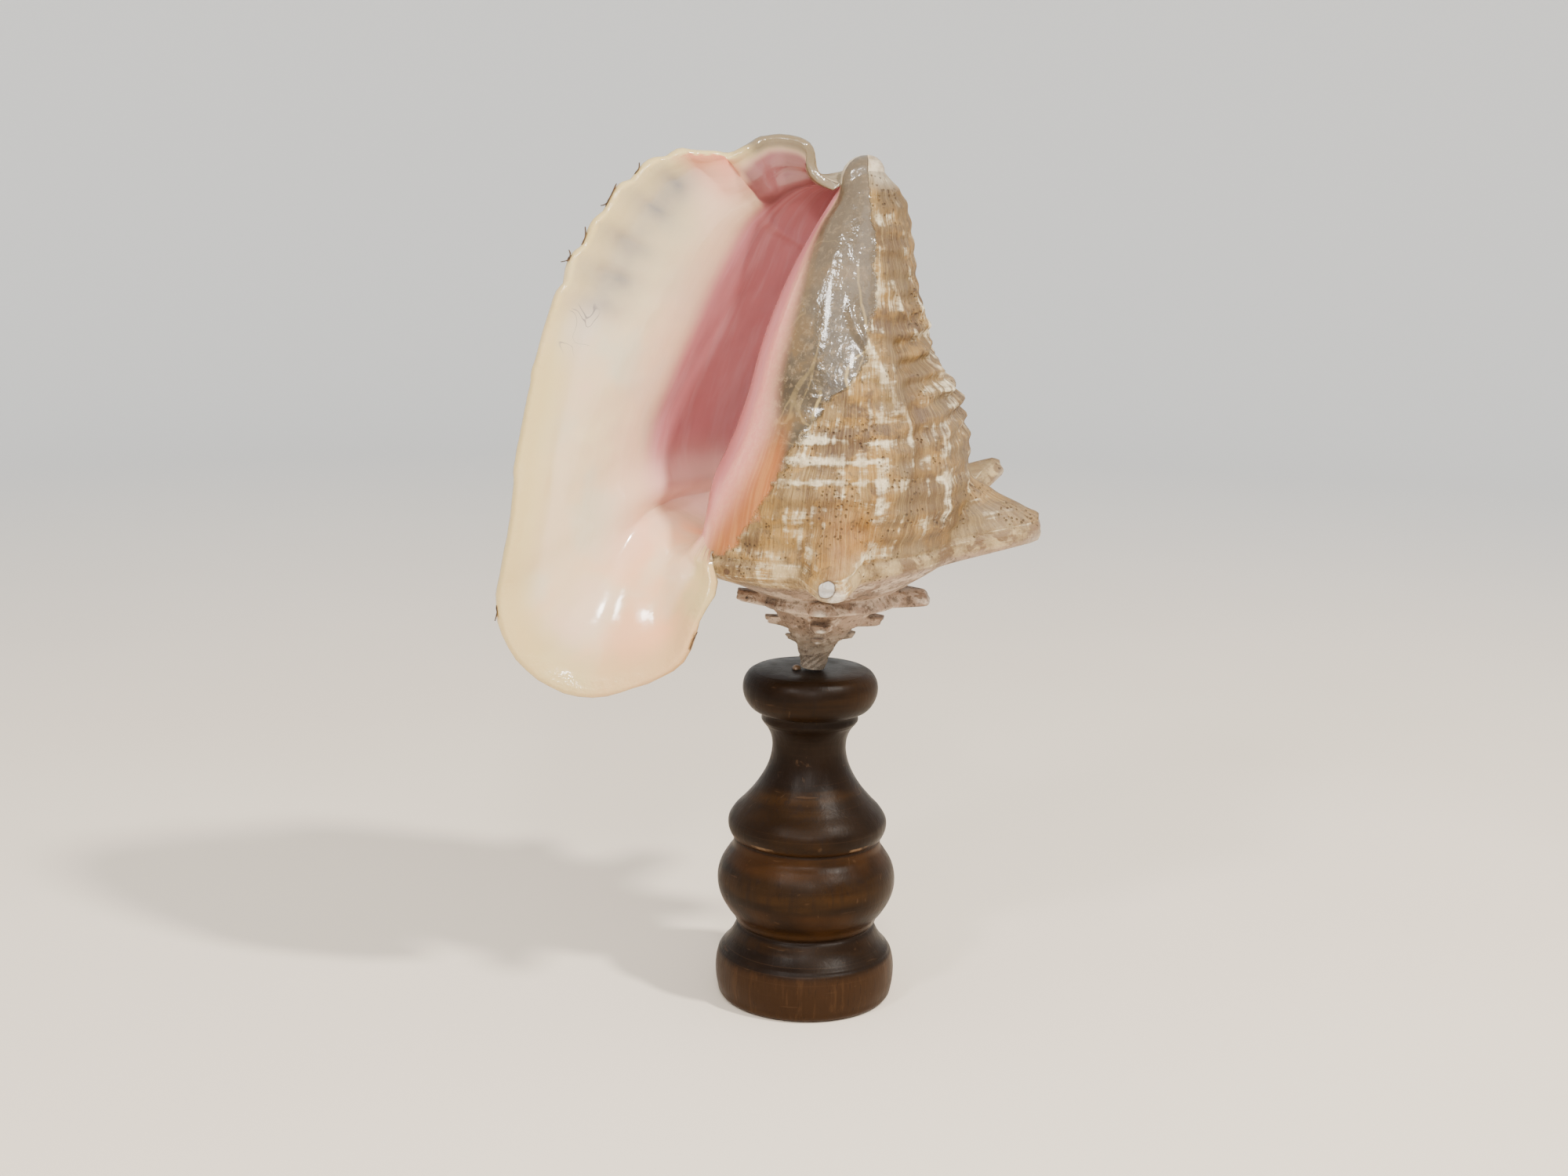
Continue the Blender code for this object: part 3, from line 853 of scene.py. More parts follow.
    def parietal_column(self, turn: float) -> Array:
        """Points of the whorl's face inside the opening.

        Args:
            turn: turns, 0 at the lip.

        Returns:
            A point for each row.
        """
        lift = 0.035 * ease((-1.0 - turn) / 0.04)
        section = self.form.side(turn, lift + (1.0 - lift) * self.side_part)
        return self.form.around(turn, self.form.spined(turn, section))

    def from_ends(self) -> Array:
        """How many rows each row lies from the nearer end of a column."""
        rows = np.arange(self.rows + 1)
        return np.minimum(rows, self.rows - rows)

    def rim(self, outer: Array, inner: Array, growing: Array) -> Array:
        """Rounded edge of the lip between its two faces.

        Args:
            outer: the outer face's last column.
            inner: the inner face's last column.
            growing: the way the lip grows.

        Returns:
            The rings, outermost first.
        """
        outward = unit(growing)
        gap = inner - outer
        width = np.linalg.norm(gap, axis=1, keepdims=True)
        full = ease(self.from_ends() / 6.0)[:, None]
        rings = []
        for k in range(self.rim_rows + 1):
            a = math.pi * k / self.rim_rows
            across = 0.5 * (1.0 - math.cos(a))
            rings.append(outer + gap * across + outward * width * 0.34 * math.sin(a) * full)
        return np.stack(rings)

    def outer_masks(self) -> dict[str, Array]:
        """Masks over the outside.

        Returns:
            Every mask by name.
        """
        shape = (len(self.turns), self.rows + 1)
        turn = self.turns[:, None] + np.zeros(shape)
        part = self.row_part[None, :] + np.zeros(shape)
        body = turn >= -1.0 - HAIR
        masks = blank(shape)
        masks["glaze"] = np.stack([self.callus(t, self.row_part) for t in self.turns])
        masks["pink"] = np.stack([self.rosy(t, self.row_part) for t in self.turns]) * body
        low = ease((0.40 - part) / 0.16) * ease((part + 0.05) / 0.08)
        masks["orange"] = low * ease((-0.915 - turn) / 0.02) * body
        under = 0.46 - 0.20 * ease((turn + 0.84) / 0.08)
        last = ease((-part - under) / 0.16)
        masks["spire"] = np.where(turn > -1.0, last, ease((-0.97 - turn) / 0.03))
        masks["blush"] = ease((0.1 - part) / 0.24) * ease((part + 0.62) / 0.12) * body
        front = band(turn, -0.965, 0.03, -0.77, 0.03)
        for at, wide in ((0.300, 0.0075), (0.250, 0.0085), (0.198, 0.0065)):
            lift = 0.004 * ripple(turn * 40.0, part * 0.0, at * 30.0)
            masks["bands"] = np.maximum(masks["bands"],
                                        np.exp(-((part - at + lift) / wide) ** 2) * front)
        masks["gilt"] = np.exp(-((turn + 0.828) / 0.04) ** 2 - ((part - 0.06) / 0.085) ** 2) * body
        masks["tawny"] = band(turn, -0.81, 0.06, -0.25, 0.3) * body
        masks["turn"] = np.clip(turn + 1.0, 0.0, 1.0)
        masks["worn"] = self.worn()
        masks["upper"] = np.clip(part, 0.0, 1.0)
        for ridge in self.form.ridges:
            strength = np.stack([ridge.strength(t, self.row_part) for t in self.turns]) * body
            name = "pale" if ridge.height > 0.0 else "dark"
            masks[name] = np.maximum(masks[name], strength)
        return masks

    def worn(self) -> Array:
        """How close each outside point is to a spine's rubbed tip.

        Returns:
            Closeness from 0 to 1.
        """
        worn = np.zeros((len(self.turns), self.rows + 1))
        for i, turn in enumerate(self.turns):
            top = self.form.shoulder(turn)
            section = self.sections(turn)
            under = np.hypot(section[:, 0] - top[0], section[:, 1] - top[1])
            for spine in self.form.spines:
                along = top[0] * math.radians(360.0 * (turn - spine.turn))
                if abs(along) < spine.half:
                    near = 1.0 - np.hypot(along, under) / (0.42 * spine.half)
                    worn[i] = np.maximum(worn[i], ease(near))
        return worn

    def core_masks(self, turns: Array) -> dict[str, Array]:
        """Masks over the parietal wall.

        Args:
            turns: turns, 0 at the lip.

        Returns:
            Every mask by name.
        """
        shape = (len(turns), self.rows_side + 1)
        masks = blank(shape)
        masks["inner"] = ease((-1.0 - turns) / 0.03)[:, None] + np.zeros(shape)
        masks["glaze"] = np.ones(shape)
        masks["pink"] = np.stack([self.rosy(t, self.side_part) for t in turns])
        masks["pink"] = np.maximum(masks["pink"], masks["inner"])
        masks["upper"] = self.side_part[None, :] + np.zeros(shape)
        low = ease((0.40 - self.side_part) / 0.16) * ease((self.side_part + 0.05) / 0.08)
        masks["orange"] = low[None, :] * (1.0 - masks["inner"])
        return masks

    def inner_masks(self, turns: Array) -> dict[str, Array]:
        """Masks over the inside, from the deep end out to the lip's edge.

        Args:
            turns: turns, 0 at the lip.

        Returns:
            Every mask by name.
        """
        shape = (len(turns), self.rows + 1)
        f = self.form.flare_turns
        u = np.clip((turns + f) / f, -1.0, 1.0)[:, None]
        part = self.row_part[None, :] + np.zeros(shape)
        masks = blank(shape)
        masks["inner"] = np.ones(shape)
        masks["glaze"] = np.ones(shape)
        wander = 0.04 * ripple(part * 5.0, part * 0.0, 7.0)
        low = ease((-part - 0.05) / 0.40)
        throat = 0.15 - 0.34 * low + wander
        canal = ease((part - 0.775) / 0.035)
        throat = throat + canal * (0.86 - throat)
        masks["pink"] = ease((throat - u) / (0.2 + 0.25 * low) + 0.5)
        # Paler pink low in the throat: partly the shell's own paler tone, partly painted light
        # where the lower mouth is lit.
        masks["pale"] = ease((0.16 - part) / 0.26) * ease((u + 0.98) / 0.4)
        top = 0.42 + 0.40 * ease((part - 0.62) / 0.12)
        masks["blush"] = ease((top - u) / 0.4 + 0.5) * ease((part + 0.9) / 0.5)
        # Over the canal lobe: its own pink, darkened as painted shade.
        masks["canal"] = ease((part - 0.765) / 0.035) * ease((u + 0.15) / 0.3)
        masks["trace"] = np.exp(-((u - 0.86) / 0.09) ** 2 - ((part - 0.395) / 0.045) ** 2)
        masks["lobe"] = ease(-part / 0.8 + 0.1) * ease((u + 0.1) / 0.3)
        masks["edge"] = ease((u - 0.72) / 0.28) + np.zeros(shape)
        masks["upper"] = np.clip(part, 0.0, 1.0)
        # Painted shade, blue-grey, in the hollows behind the upper scallops.
        masks["dip_shade_mask"] = np.stack([self.dips(float(v), 0.0175, 0.18) if v > 0.0 else self.share
                                  * 0.0 for v in u[:, 0]])
        masks["orange"] = band(part, 0.695, 0.04, 0.815, 0.03) * ease((u - 0.3) / 0.3)
        return masks

    def rim_masks(self, count: int) -> dict[str, Array]:
        """Masks round the lip's edge, from outside to inside.

        Args:
            count: how many rings the rim has.

        Returns:
            Every mask by name.
        """
        shape = (count, self.rows + 1)
        k = np.linspace(0.0, 1.0, count)[:, None]
        masks = blank(shape)
        masks["inner"] = ease((k - 0.12) / 0.3) + np.zeros(shape)
        masks["glaze"] = masks["inner"].copy()
        masks["edge"] = np.ones(shape)
        masks["lobe"] = ease(-self.row_part[None, :] / 0.8 + 0.1) + np.zeros(shape)
        masks["upper"] = np.clip(self.row_part[None, :], 0.0, 1.0) + np.zeros(shape)
        return masks

    def build(self) -> Piece:
        """Make each patch from a grid, join them and close the ends.

        Returns:
            The finished shell, one closed surface.
        """
        patches = self.patches()
        pieces = []
        outside = patches[Face.OUTSIDE]
        ramp = slice(0, self.rows_ramp + 1)
        side = slice(self.rows_ramp, self.rows + 1)
        pieces.append(self.grid("ramp", outside, slice(0, self.last + 1), ramp))
        pieces.append(self.grid("side", outside, slice(self.start, self.last + 1), side))
        everything = slice(None)
        pieces.append(self.grid("parietal", patches[Face.PARIETAL], everything, everything))
        pieces.append(self.grid("inside", patches[Face.INSIDE], everything, everything))
        pieces.append(self.grid("rim", patches[Face.RIM], everything, everything))
        shell = join(pieces, "conch_shell_surface")
        self.close(shell)
        return shell

    def grid(self, name: str, patch: Patch, columns: slice, rows: slice) -> Piece:
        """One patch as a grid primitive whose points are moved to the shell's form.

        Args:
            name: name of the piece.
            patch: points and masks.
            columns: the columns of the patch to use.
            rows: the rows of the patch to use.

        Returns:
            The patch as an object with its map and masks.
        """
        points = patch.points[columns, rows] * MM
        growth = patch.growth[columns]
        part = patch.part[rows]
        nx, ny = points.shape[:2]
        deselect()
        bpy.ops.mesh.primitive_grid_add(x_subdivisions=nx - 1, y_subdivisions=ny - 1, size=2.0,
                                        location=(0.0, 0.0, 0.0))
        piece = bpy.context.object
        piece.name = name
        mesh = piece.data
        flat = np.empty(len(mesh.vertices) * 3)
        mesh.vertices.foreach_get("co", flat)
        flat = flat.reshape(-1, 3)
        i = np.rint((flat[:, 0] + 1.0) * 0.5 * (nx - 1)).astype(int)
        j = np.rint((flat[:, 1] + 1.0) * 0.5 * (ny - 1)).astype(int)
        mesh.vertices.foreach_set("co", points[i, j].astype(float).ravel())
        corners = np.empty(len(mesh.loops), dtype=int)
        mesh.loops.foreach_get("vertex_index", corners)
        while mesh.uv_layers:
            mesh.uv_layers.remove(mesh.uv_layers[0])
        layer = mesh.uv_layers.new(name="growth")
        uv = np.stack([growth[i[corners]], part[j[corners]]], axis=1)
        layer.data.foreach_set("uv", uv.ravel())
        for mask in MASKS:
            attribute = mesh.attributes.new(mask, "FLOAT", "POINT")
            values = patch.masks[mask][columns, rows][i, j]
            attribute.data.foreach_set("value", values.astype(float))
        return piece

    def close(self, shell: Piece) -> None:
        """Weld the patches, close the canal tip, the apex and the far end of the hollow.

        Args:
            shell: the joined patches.
        """
        enter(shell)
        bpy.ops.mesh.select_all(action="SELECT")
        bpy.ops.mesh.remove_doubles(threshold=self.weld)
        select_open_edges()
        bpy.ops.object.mode_set(mode="OBJECT")
        work = bmesh.new()
        work.from_mesh(shell.data)
        open_edges = [e for e in work.edges if e.is_boundary]
        loops = boundary_loops(open_edges)
        log.info("shell has %d open loops of %s edges", len(loops), [len(l) for l in loops])
        tip = self.form.placed(np.array([0.0, 0.0, self.form.length])) * MM
        apex = self.form.placed(np.array([0.0, 0.0, 0.5])) * MM
        for loop in loops:
            centre = sum((v.co for v in loop), Vector()) / len(loop)
            if centre.z > 0.5 * (tip[2] + apex[2]) + self.canal_above_middle:
                fan(work, loop, Vector(tip), self.canal_rings)
            elif centre.z < apex[2] + self.apex_reach:
                fan(work, loop, Vector(apex), self.apex_rings)
            else:
                bmesh.ops.triangle_fill(work, use_beauty=True, edges=loop_edges(work, loop))
        bmesh.ops.recalc_face_normals(work, faces=work.faces)
        log.info("open edges left: %d", sum(1 for e in work.edges if not e.is_manifold))
        work.to_mesh(shell.data)
        work.free()
        smooth(shell)


def boundary_loops(edges: list[bmesh.types.BMEdge]) -> list[list[bmesh.types.BMVert]]:
    """Chains of open edges, each as its vertices in order.

    Args:
        edges: the open edges.

    Returns:
        One list for each chain.
    """
    left = set(edges)
    loops = []
    while left:
        edge = left.pop()
        loop = [edge.verts[0], edge.verts[1]]
        while True:
            onward = [e for e in loop[-1].link_edges if e in left]
            if not onward:
                break
            step = onward[0]
            left.discard(step)
            following = step.other_vert(loop[-1])
            if following is loop[0]:
                break
            loop.append(following)
        loops.append(loop)
    return loops


def loop_edges(work: bmesh.types.BMesh,
               loop: list[bmesh.types.BMVert]) -> list[bmesh.types.BMEdge]:
    """Edges between the loop's neighbours."""
    edges = [work.edges.get((a, b)) for a, b in zip(loop, loop[1:] + loop[:1])]
    return [edge for edge in edges if edge]


def fan(work: bmesh.types.BMesh, loop: list[bmesh.types.BMVert], point: Vector,
        rings: int) -> None:
    """Close a loop with rounded rings that end in one point.

    Args:
        work: the mesh.
        loop: the open loop's vertices in order.
        point: where the rings meet.
        rings: how many steps there are to the point.
    """
    masks = [work.verts.layers.float[name] for name in MASKS]
    before = loop
    for k in range(1, rings):
        turn = 0.5 * math.pi * k / rings
        near, rise = math.cos(turn), math.sin(turn)
        ring = []
        for v in loop:
            made = work.verts.new((point.x + (v.co.x - point.x) * near,
                                   point.y + (v.co.y - point.y) * near,
                                   v.co.z + (point.z - v.co.z) * rise))
            for layer in masks:
                made[layer] = v[layer]
            ring.append(made)
        for i, a in enumerate(before):
            n = (i + 1) % len(before)
            work.faces.new((a, before[n], ring[n], ring[i]))
        before = ring
    centre = work.verts.new(point)
    for layer in masks:
        centre[layer] = loop[0][layer]
    for i, a in enumerate(before):
        work.faces.new((a, before[(i + 1) % len(before)], centre))


@dataclass(frozen=True)
class Flake:
    """One curled scrap of dried skin: its share of the lip's edge, length, width and curl."""

    share: float
    length: float
    width: float
    curl: float
    ahead: float = 1.0


@dataclass
class DryFlakes:
    """Thin dark scraps of the dried outer skin, clinging to the lip's edge."""

    shell: ConchShell
    thickness: float = 0.35
    flakes: tuple[Flake, ...] = (
        Flake(0.677, 5.0, 1.6, 1.5), Flake(0.674, 3.6, 1.2, 1.9, -1.0),
        Flake(0.700, 6.0, 1.6, 1.1), Flake(0.744, 8.5, 1.8, 0.7),
        Flake(0.738, 4.0, 1.2, 1.3, -1.0), Flake(0.779, 3.6, 1.6, 1.1),
        Flake(0.342, 6.0, 1.4, 0.9, -1.0), Flake(0.086, 9.0, 1.6, 0.6, -1.0),
    )

    def build(self) -> Piece:
        """Bend a small plate for each scrap, thicken it and set it at the edge.

        Returns:
            All the scraps as one piece.
        """
        pieces = [self.scrap(flake) for flake in self.flakes]
        return join(pieces, "dried_skin_flakes")

    def scrap(self, flake: Flake) -> Piece:
        """One scrap laid along the rounded rim, with one end curling away from it.

        Args:
            flake: its place and size.

        Returns:
            The scrap as an object.
        """
        shell = self.shell
        length = lengths(shell.rim_line)[-1]
        deselect()
        bpy.ops.mesh.primitive_grid_add(x_subdivisions=16, y_subdivisions=4, size=2.0)
        piece = bpy.context.object
        for v in piece.data.vertices:
            a, b = v.co.x, v.co.y
            share = flake.share + 0.5 * a * flake.ahead * flake.length / length
            at = np.array([np.interp(share, shell.share, shell.rim_line[:, k]) for k in range(3)])
            out = np.array([np.interp(share, shell.share, shell.rim_out[:, k]) for k in range(3)])
            wide = (flake.width * (1.0 - 0.7 * abs(a) ** 2)
                    * (1.0 + 0.2 * math.sin(6.0 * a + share * 90.0)))
            lift = 0.12 + flake.curl * max(0.0, a + 0.2) ** 2 + 0.10 * math.sin(5.0 * a + 2.0 * b)
            v.co = Vector((at + unit(out) * lift + np.array([0.0, 0.5 * b * wide - 0.4, 0.0]))
                          * MM)
        enter(piece)
        bpy.ops.mesh.select_all(action="SELECT")
        bpy.ops.mesh.normals_make_consistent(inside=False)
        bpy.ops.object.mode_set(mode="OBJECT")
        wall = piece.modifiers.new("thickness", "SOLIDIFY")
        wall.thickness = self.thickness * MM
        bpy.ops.object.modifier_apply(modifier=wall.name)
        smooth(piece)
        settle(piece)
        return piece


# Small helpers for pieces

def deselect() -> None:
    """Leave nothing selected."""
    if bpy.context.object and bpy.context.object.mode != "OBJECT":
        bpy.ops.object.mode_set(mode="OBJECT")
    bpy.ops.object.select_all(action="DESELECT")


def enter(piece: Piece) -> None:
    """Open one piece in edit mode.

    Args:
        piece: the piece.
    """
    deselect()
    piece.select_set(True)
    bpy.context.view_layer.objects.active = piece
    bpy.ops.object.mode_set(mode="EDIT")


def join(pieces: list[Piece], name: str) -> Piece:
    """Join pieces into the first one and name it.

    Args:
        pieces: the pieces, first the one that stays.
        name: its new name.

    Returns:
        The joined piece.
    """
    deselect()
    for piece in pieces:
        piece.select_set(True)
    bpy.context.view_layer.objects.active = pieces[0]
    bpy.ops.object.join()
    pieces[0].name = name
    pieces[0].data.name = name
    return pieces[0]


def settle(piece: Piece) -> None:
    """Put the piece's place, turn and size into its mesh.

    Args:
        piece: the piece.
    """
    deselect()
    piece.select_set(True)
    bpy.context.view_layer.objects.active = piece
    bpy.ops.object.transform_apply(location=True, rotation=True, scale=True)


def smooth(piece: Piece) -> None:
    """Shade the piece smooth."""
    piece.data.polygons.foreach_set("use_smooth", [True] * len(piece.data.polygons))


def select_open_edges() -> None:
    """Select the open edges of the piece in edit mode, and nothing else."""
    bpy.ops.mesh.select_all(action="DESELECT")
    bpy.ops.mesh.select_non_manifold(extend=False, use_wire=False, use_boundary=True,
                                     use_multi_face=False, use_non_contiguous=False,
                                     use_verts=False)


def raise_ring(before: Sequence[float], after: Sequence[float], scale: float = 1.0) -> None:
    """Extrude the selected ring to the next radius and height of an outline.

    Args:
        before: the ring's radius and height.
        after: the next ring's radius and height.
        scale: metres to one unit of both.
    """
    rise = (after[1] - before[1]) * scale
    ratio = after[0] / before[0]
    bpy.ops.mesh.extrude_edges_move(TRANSFORM_OT_translate={"value": (0.0, 0.0, rise)})
    bpy.ops.transform.resize(value=(ratio, ratio, 1.0),
                             center_override=(0.0, 0.0, after[1] * scale))


# Stand

@dataclass
class TurnedStand:
    """One piece of wood turned on a lathe."""

    sides: int = 160
    profile_steps: int = 340
    flat_top: Pairs = ((16.0, 148.96), (8.0, 149.0))
    outline: Pairs = (
        (36.0, 0.0), (38.0, 1.6), (39.0, 5.0), (39.0, 19.0), (38.2, 21.6), (35.6, 24.4),
        (32.4, 29.0), (31.0, 33.4), (31.8, 36.8), (35.0, 41.4), (37.8, 46.4), (39.2, 51.4),
        (39.3, 56.0), (37.8, 61.4), (34.8, 66.4), (32.8, 69.4), (32.6, 71.8), (33.8, 74.8),
        (34.9, 78.2), (34.8, 81.4), (33.0, 84.8), (28.6, 89.6), (23.4, 95.8), (19.6, 102.0),
        (17.0, 108.6), (16.2, 114.4), (17.0, 119.6), (19.2, 123.8), (21.2, 126.0), (21.2, 129.2),
        (25.4, 131.6), (28.6, 136.0), (29.6, 140.6), (28.8, 144.8), (27.0, 147.4), (24.8, 148.7),
    )
    grooves: tuple[tuple[float, float, float], ...] = (
        (21.9, 0.45, 0.5), (33.6, 1.5, 0.8), (73.0, 1.1, 0.8), (125.6, 0.5, 0.5),
        (130.2, 0.9, 0.6),
    )
    dents: tuple[tuple[float, ...], ...] = (
        (2.5, -39.0, 51.5, 1.6, 0.35), (-20.0, -32.0, 62.0, 2.0, 0.25),
    )

    def profile(self) -> Array:
        """Smooth outline with close steps and the cut lines between its forms.

        Returns:
            Radius and height of each step.
        """
        points = np.array(self.outline)
        marks = lengths(points)
        where = np.linspace(0.0, marks[-1], self.profile_steps)
        profile = through(marks, points, where)
        for at, deep, wide in self.grooves:
            profile[:, 0] -= deep * np.exp(-np.abs(profile[:, 1] - at) / wide)
        return np.vstack([profile, self.flat_top])

    def build(self) -> Piece:
        """Raise the stand ring by ring from a filled circle.

        Returns:
            The turned piece.
        """
        profile = self.profile()
        deselect()
        bpy.ops.mesh.primitive_circle_add(vertices=self.sides, radius=profile[0][0] * MM,
                                          fill_type="TRIFAN", location=(0.0, 0.0, 0.0))
        stand = bpy.context.object
        stand.name = "turned_wood_stand"
        stand.data.name = "turned_wood_stand"
        enter(stand)
        select_open_edges()
        for before, after in zip(profile, profile[1:]):
            raise_ring(before, after, MM)
        bpy.ops.mesh.extrude_edges_move(TRANSFORM_OT_translate={"value": (0.0, 0.0, 0.0)})
        bpy.ops.mesh.merge(type="CENTER")
        bpy.ops.mesh.select_all(action="SELECT")
        bpy.ops.mesh.remove_doubles(threshold=0.00001)
        bpy.ops.mesh.normals_make_consistent(inside=False)
        bpy.ops.object.mode_set(mode="OBJECT")
        self.wear(stand)
        smooth(stand)
        settle(stand)
        return stand

    def wear(self, stand: Piece) -> None:
        """A small dent in the bulge and slight unevenness from hand turning.

        Args:
            stand: the turned piece.
        """
        mesh = stand.data
        flat = np.empty(len(mesh.vertices) * 3)
        mesh.vertices.foreach_get("co", flat)
        p = flat.reshape(-1, 3)
        radius = np.hypot(p[:, 0], p[:, 1])
        angle = np.arctan2(p[:, 1], p[:, 0])
        z = p[:, 2] / MM
        push = 0.06 * np.cos(angle * 3.0 + z * 0.05) + 0.03 * np.cos(angle * 8.0 + z * 0.4)
        for x, y, at, size, deep in self.dents:
            away = np.sqrt((p[:, 0] / MM - x) ** 2 + (p[:, 1] / MM - y) ** 2 + (z - at) ** 2)
            push = push - deep * np.exp(-(away / size) ** 2)
        side = np.where((z > 1.0) & (z < 147.0), 1.0, 0.0)
        scale = 1.0 + np.where(radius > 1e-6, push * side * MM / np.maximum(radius, 1e-6), 0.0)
        p[:, 0] *= scale
        p[:, 1] *= scale
        mesh.vertices.foreach_set("co", p.ravel())


@dataclass
class GlueBead:
    """Small bead of dark old glue beside the apex."""

    at: Point = (-6.2, -3.2, 149.3)
    radius: float = 2.2
    height: float = 1.9

    def build(self) -> Piece:
        """Flatten a small sphere and cut off its lower half.

        Returns:
            The bead.
        """
        deselect()
        x, y, z = (c * MM for c in self.at)
        bpy.ops.mesh.primitive_uv_sphere_add(segments=36, ring_count=20, radius=self.radius * MM,
                                             location=(x, y, z))
        bead = bpy.context.object
        bead.name = "old_glue_bead"
        bead.data.name = "old_glue_bead"
        settle(bead)
        enter(bead)
        bpy.ops.mesh.select_all(action="SELECT")
        bpy.ops.transform.resize(value=(1.0, 1.0, self.height / self.radius),
                                 center_override=(x, y, z))
        bpy.ops.mesh.bisect(plane_co=(x, y, z), plane_no=(0.0, 0.0, 1.0), use_fill=True,
                            clear_inner=True)
        bpy.ops.object.mode_set(mode="OBJECT")
        mesh = bead.data
        for v in mesh.vertices:
            a = math.atan2(v.co.y - y, v.co.x - x)
            grow = 1.0 + 0.10 * math.sin(3.0 * a + 0.5) - 0.10
            v.co.x = x + (v.co.x - x) * grow
            v.co.y = y + (v.co.y - y) * grow
        smooth(bead)
        return bead


# Materials

@dataclass(frozen=True)
class Field:
    """A value or colour that changes over the surface, whose sums wire themselves."""

    sheet: Sheet
    socket: bpy.types.NodeSocket

    def __add__(self, other: Field | float) -> Field:
        """This and the other."""
        return self.sheet.math("ADD", self, other)

    def __sub__(self, other: Field | float) -> Field:
        """This less the other."""
        return self.sheet.math("SUBTRACT", self, other)

    def __rsub__(self, other: float) -> Field:
        """The other less this."""
        return self.sheet.math("SUBTRACT", other, self)

    def __mul__(self, other: Field | float) -> Field:
        """This times the other."""
        return self.sheet.math("MULTIPLY", self, other)

    def __abs__(self) -> Field:
        """This without its sign."""
        return self.sheet.math("ABSOLUTE", self)

    def range(self, low: float, high: float, to_low: float = 0.0, to_high: float = 1.0) -> Field:
        """Smoothly remap this, clamped."""
        made = self.sheet.node("ShaderNodeMapRange", interpolation_type="SMOOTHSTEP", clamp=True)
        return self.sheet.wired(made, {0: self, 1: low, 2: high, 3: to_low, 4: to_high})

    def stretched(self, x: float, y: float, z: float) -> Field:
        """This vector with each axis scaled."""
        made = self.sheet.node("ShaderNodeMapping", vector_type="POINT")
        return self.sheet.wired(made, {"Vector": self, "Scale": (x, y, z)})

    def apart(self) -> tuple[Field, ...]:
        """The three numbers of this vector."""
        made = self.sheet.node("ShaderNodeSeparateXYZ")
        return tuple(self.sheet.wired(made, {0: self}, k) for k in range(3))

    def distance(self, point: Point) -> Field:
        """How far this vector is from a fixed point."""
        made = self.sheet.node("ShaderNodeVectorMath", operation="DISTANCE")
        return self.sheet.wired(made, {0: self, 1: point}, "Value")


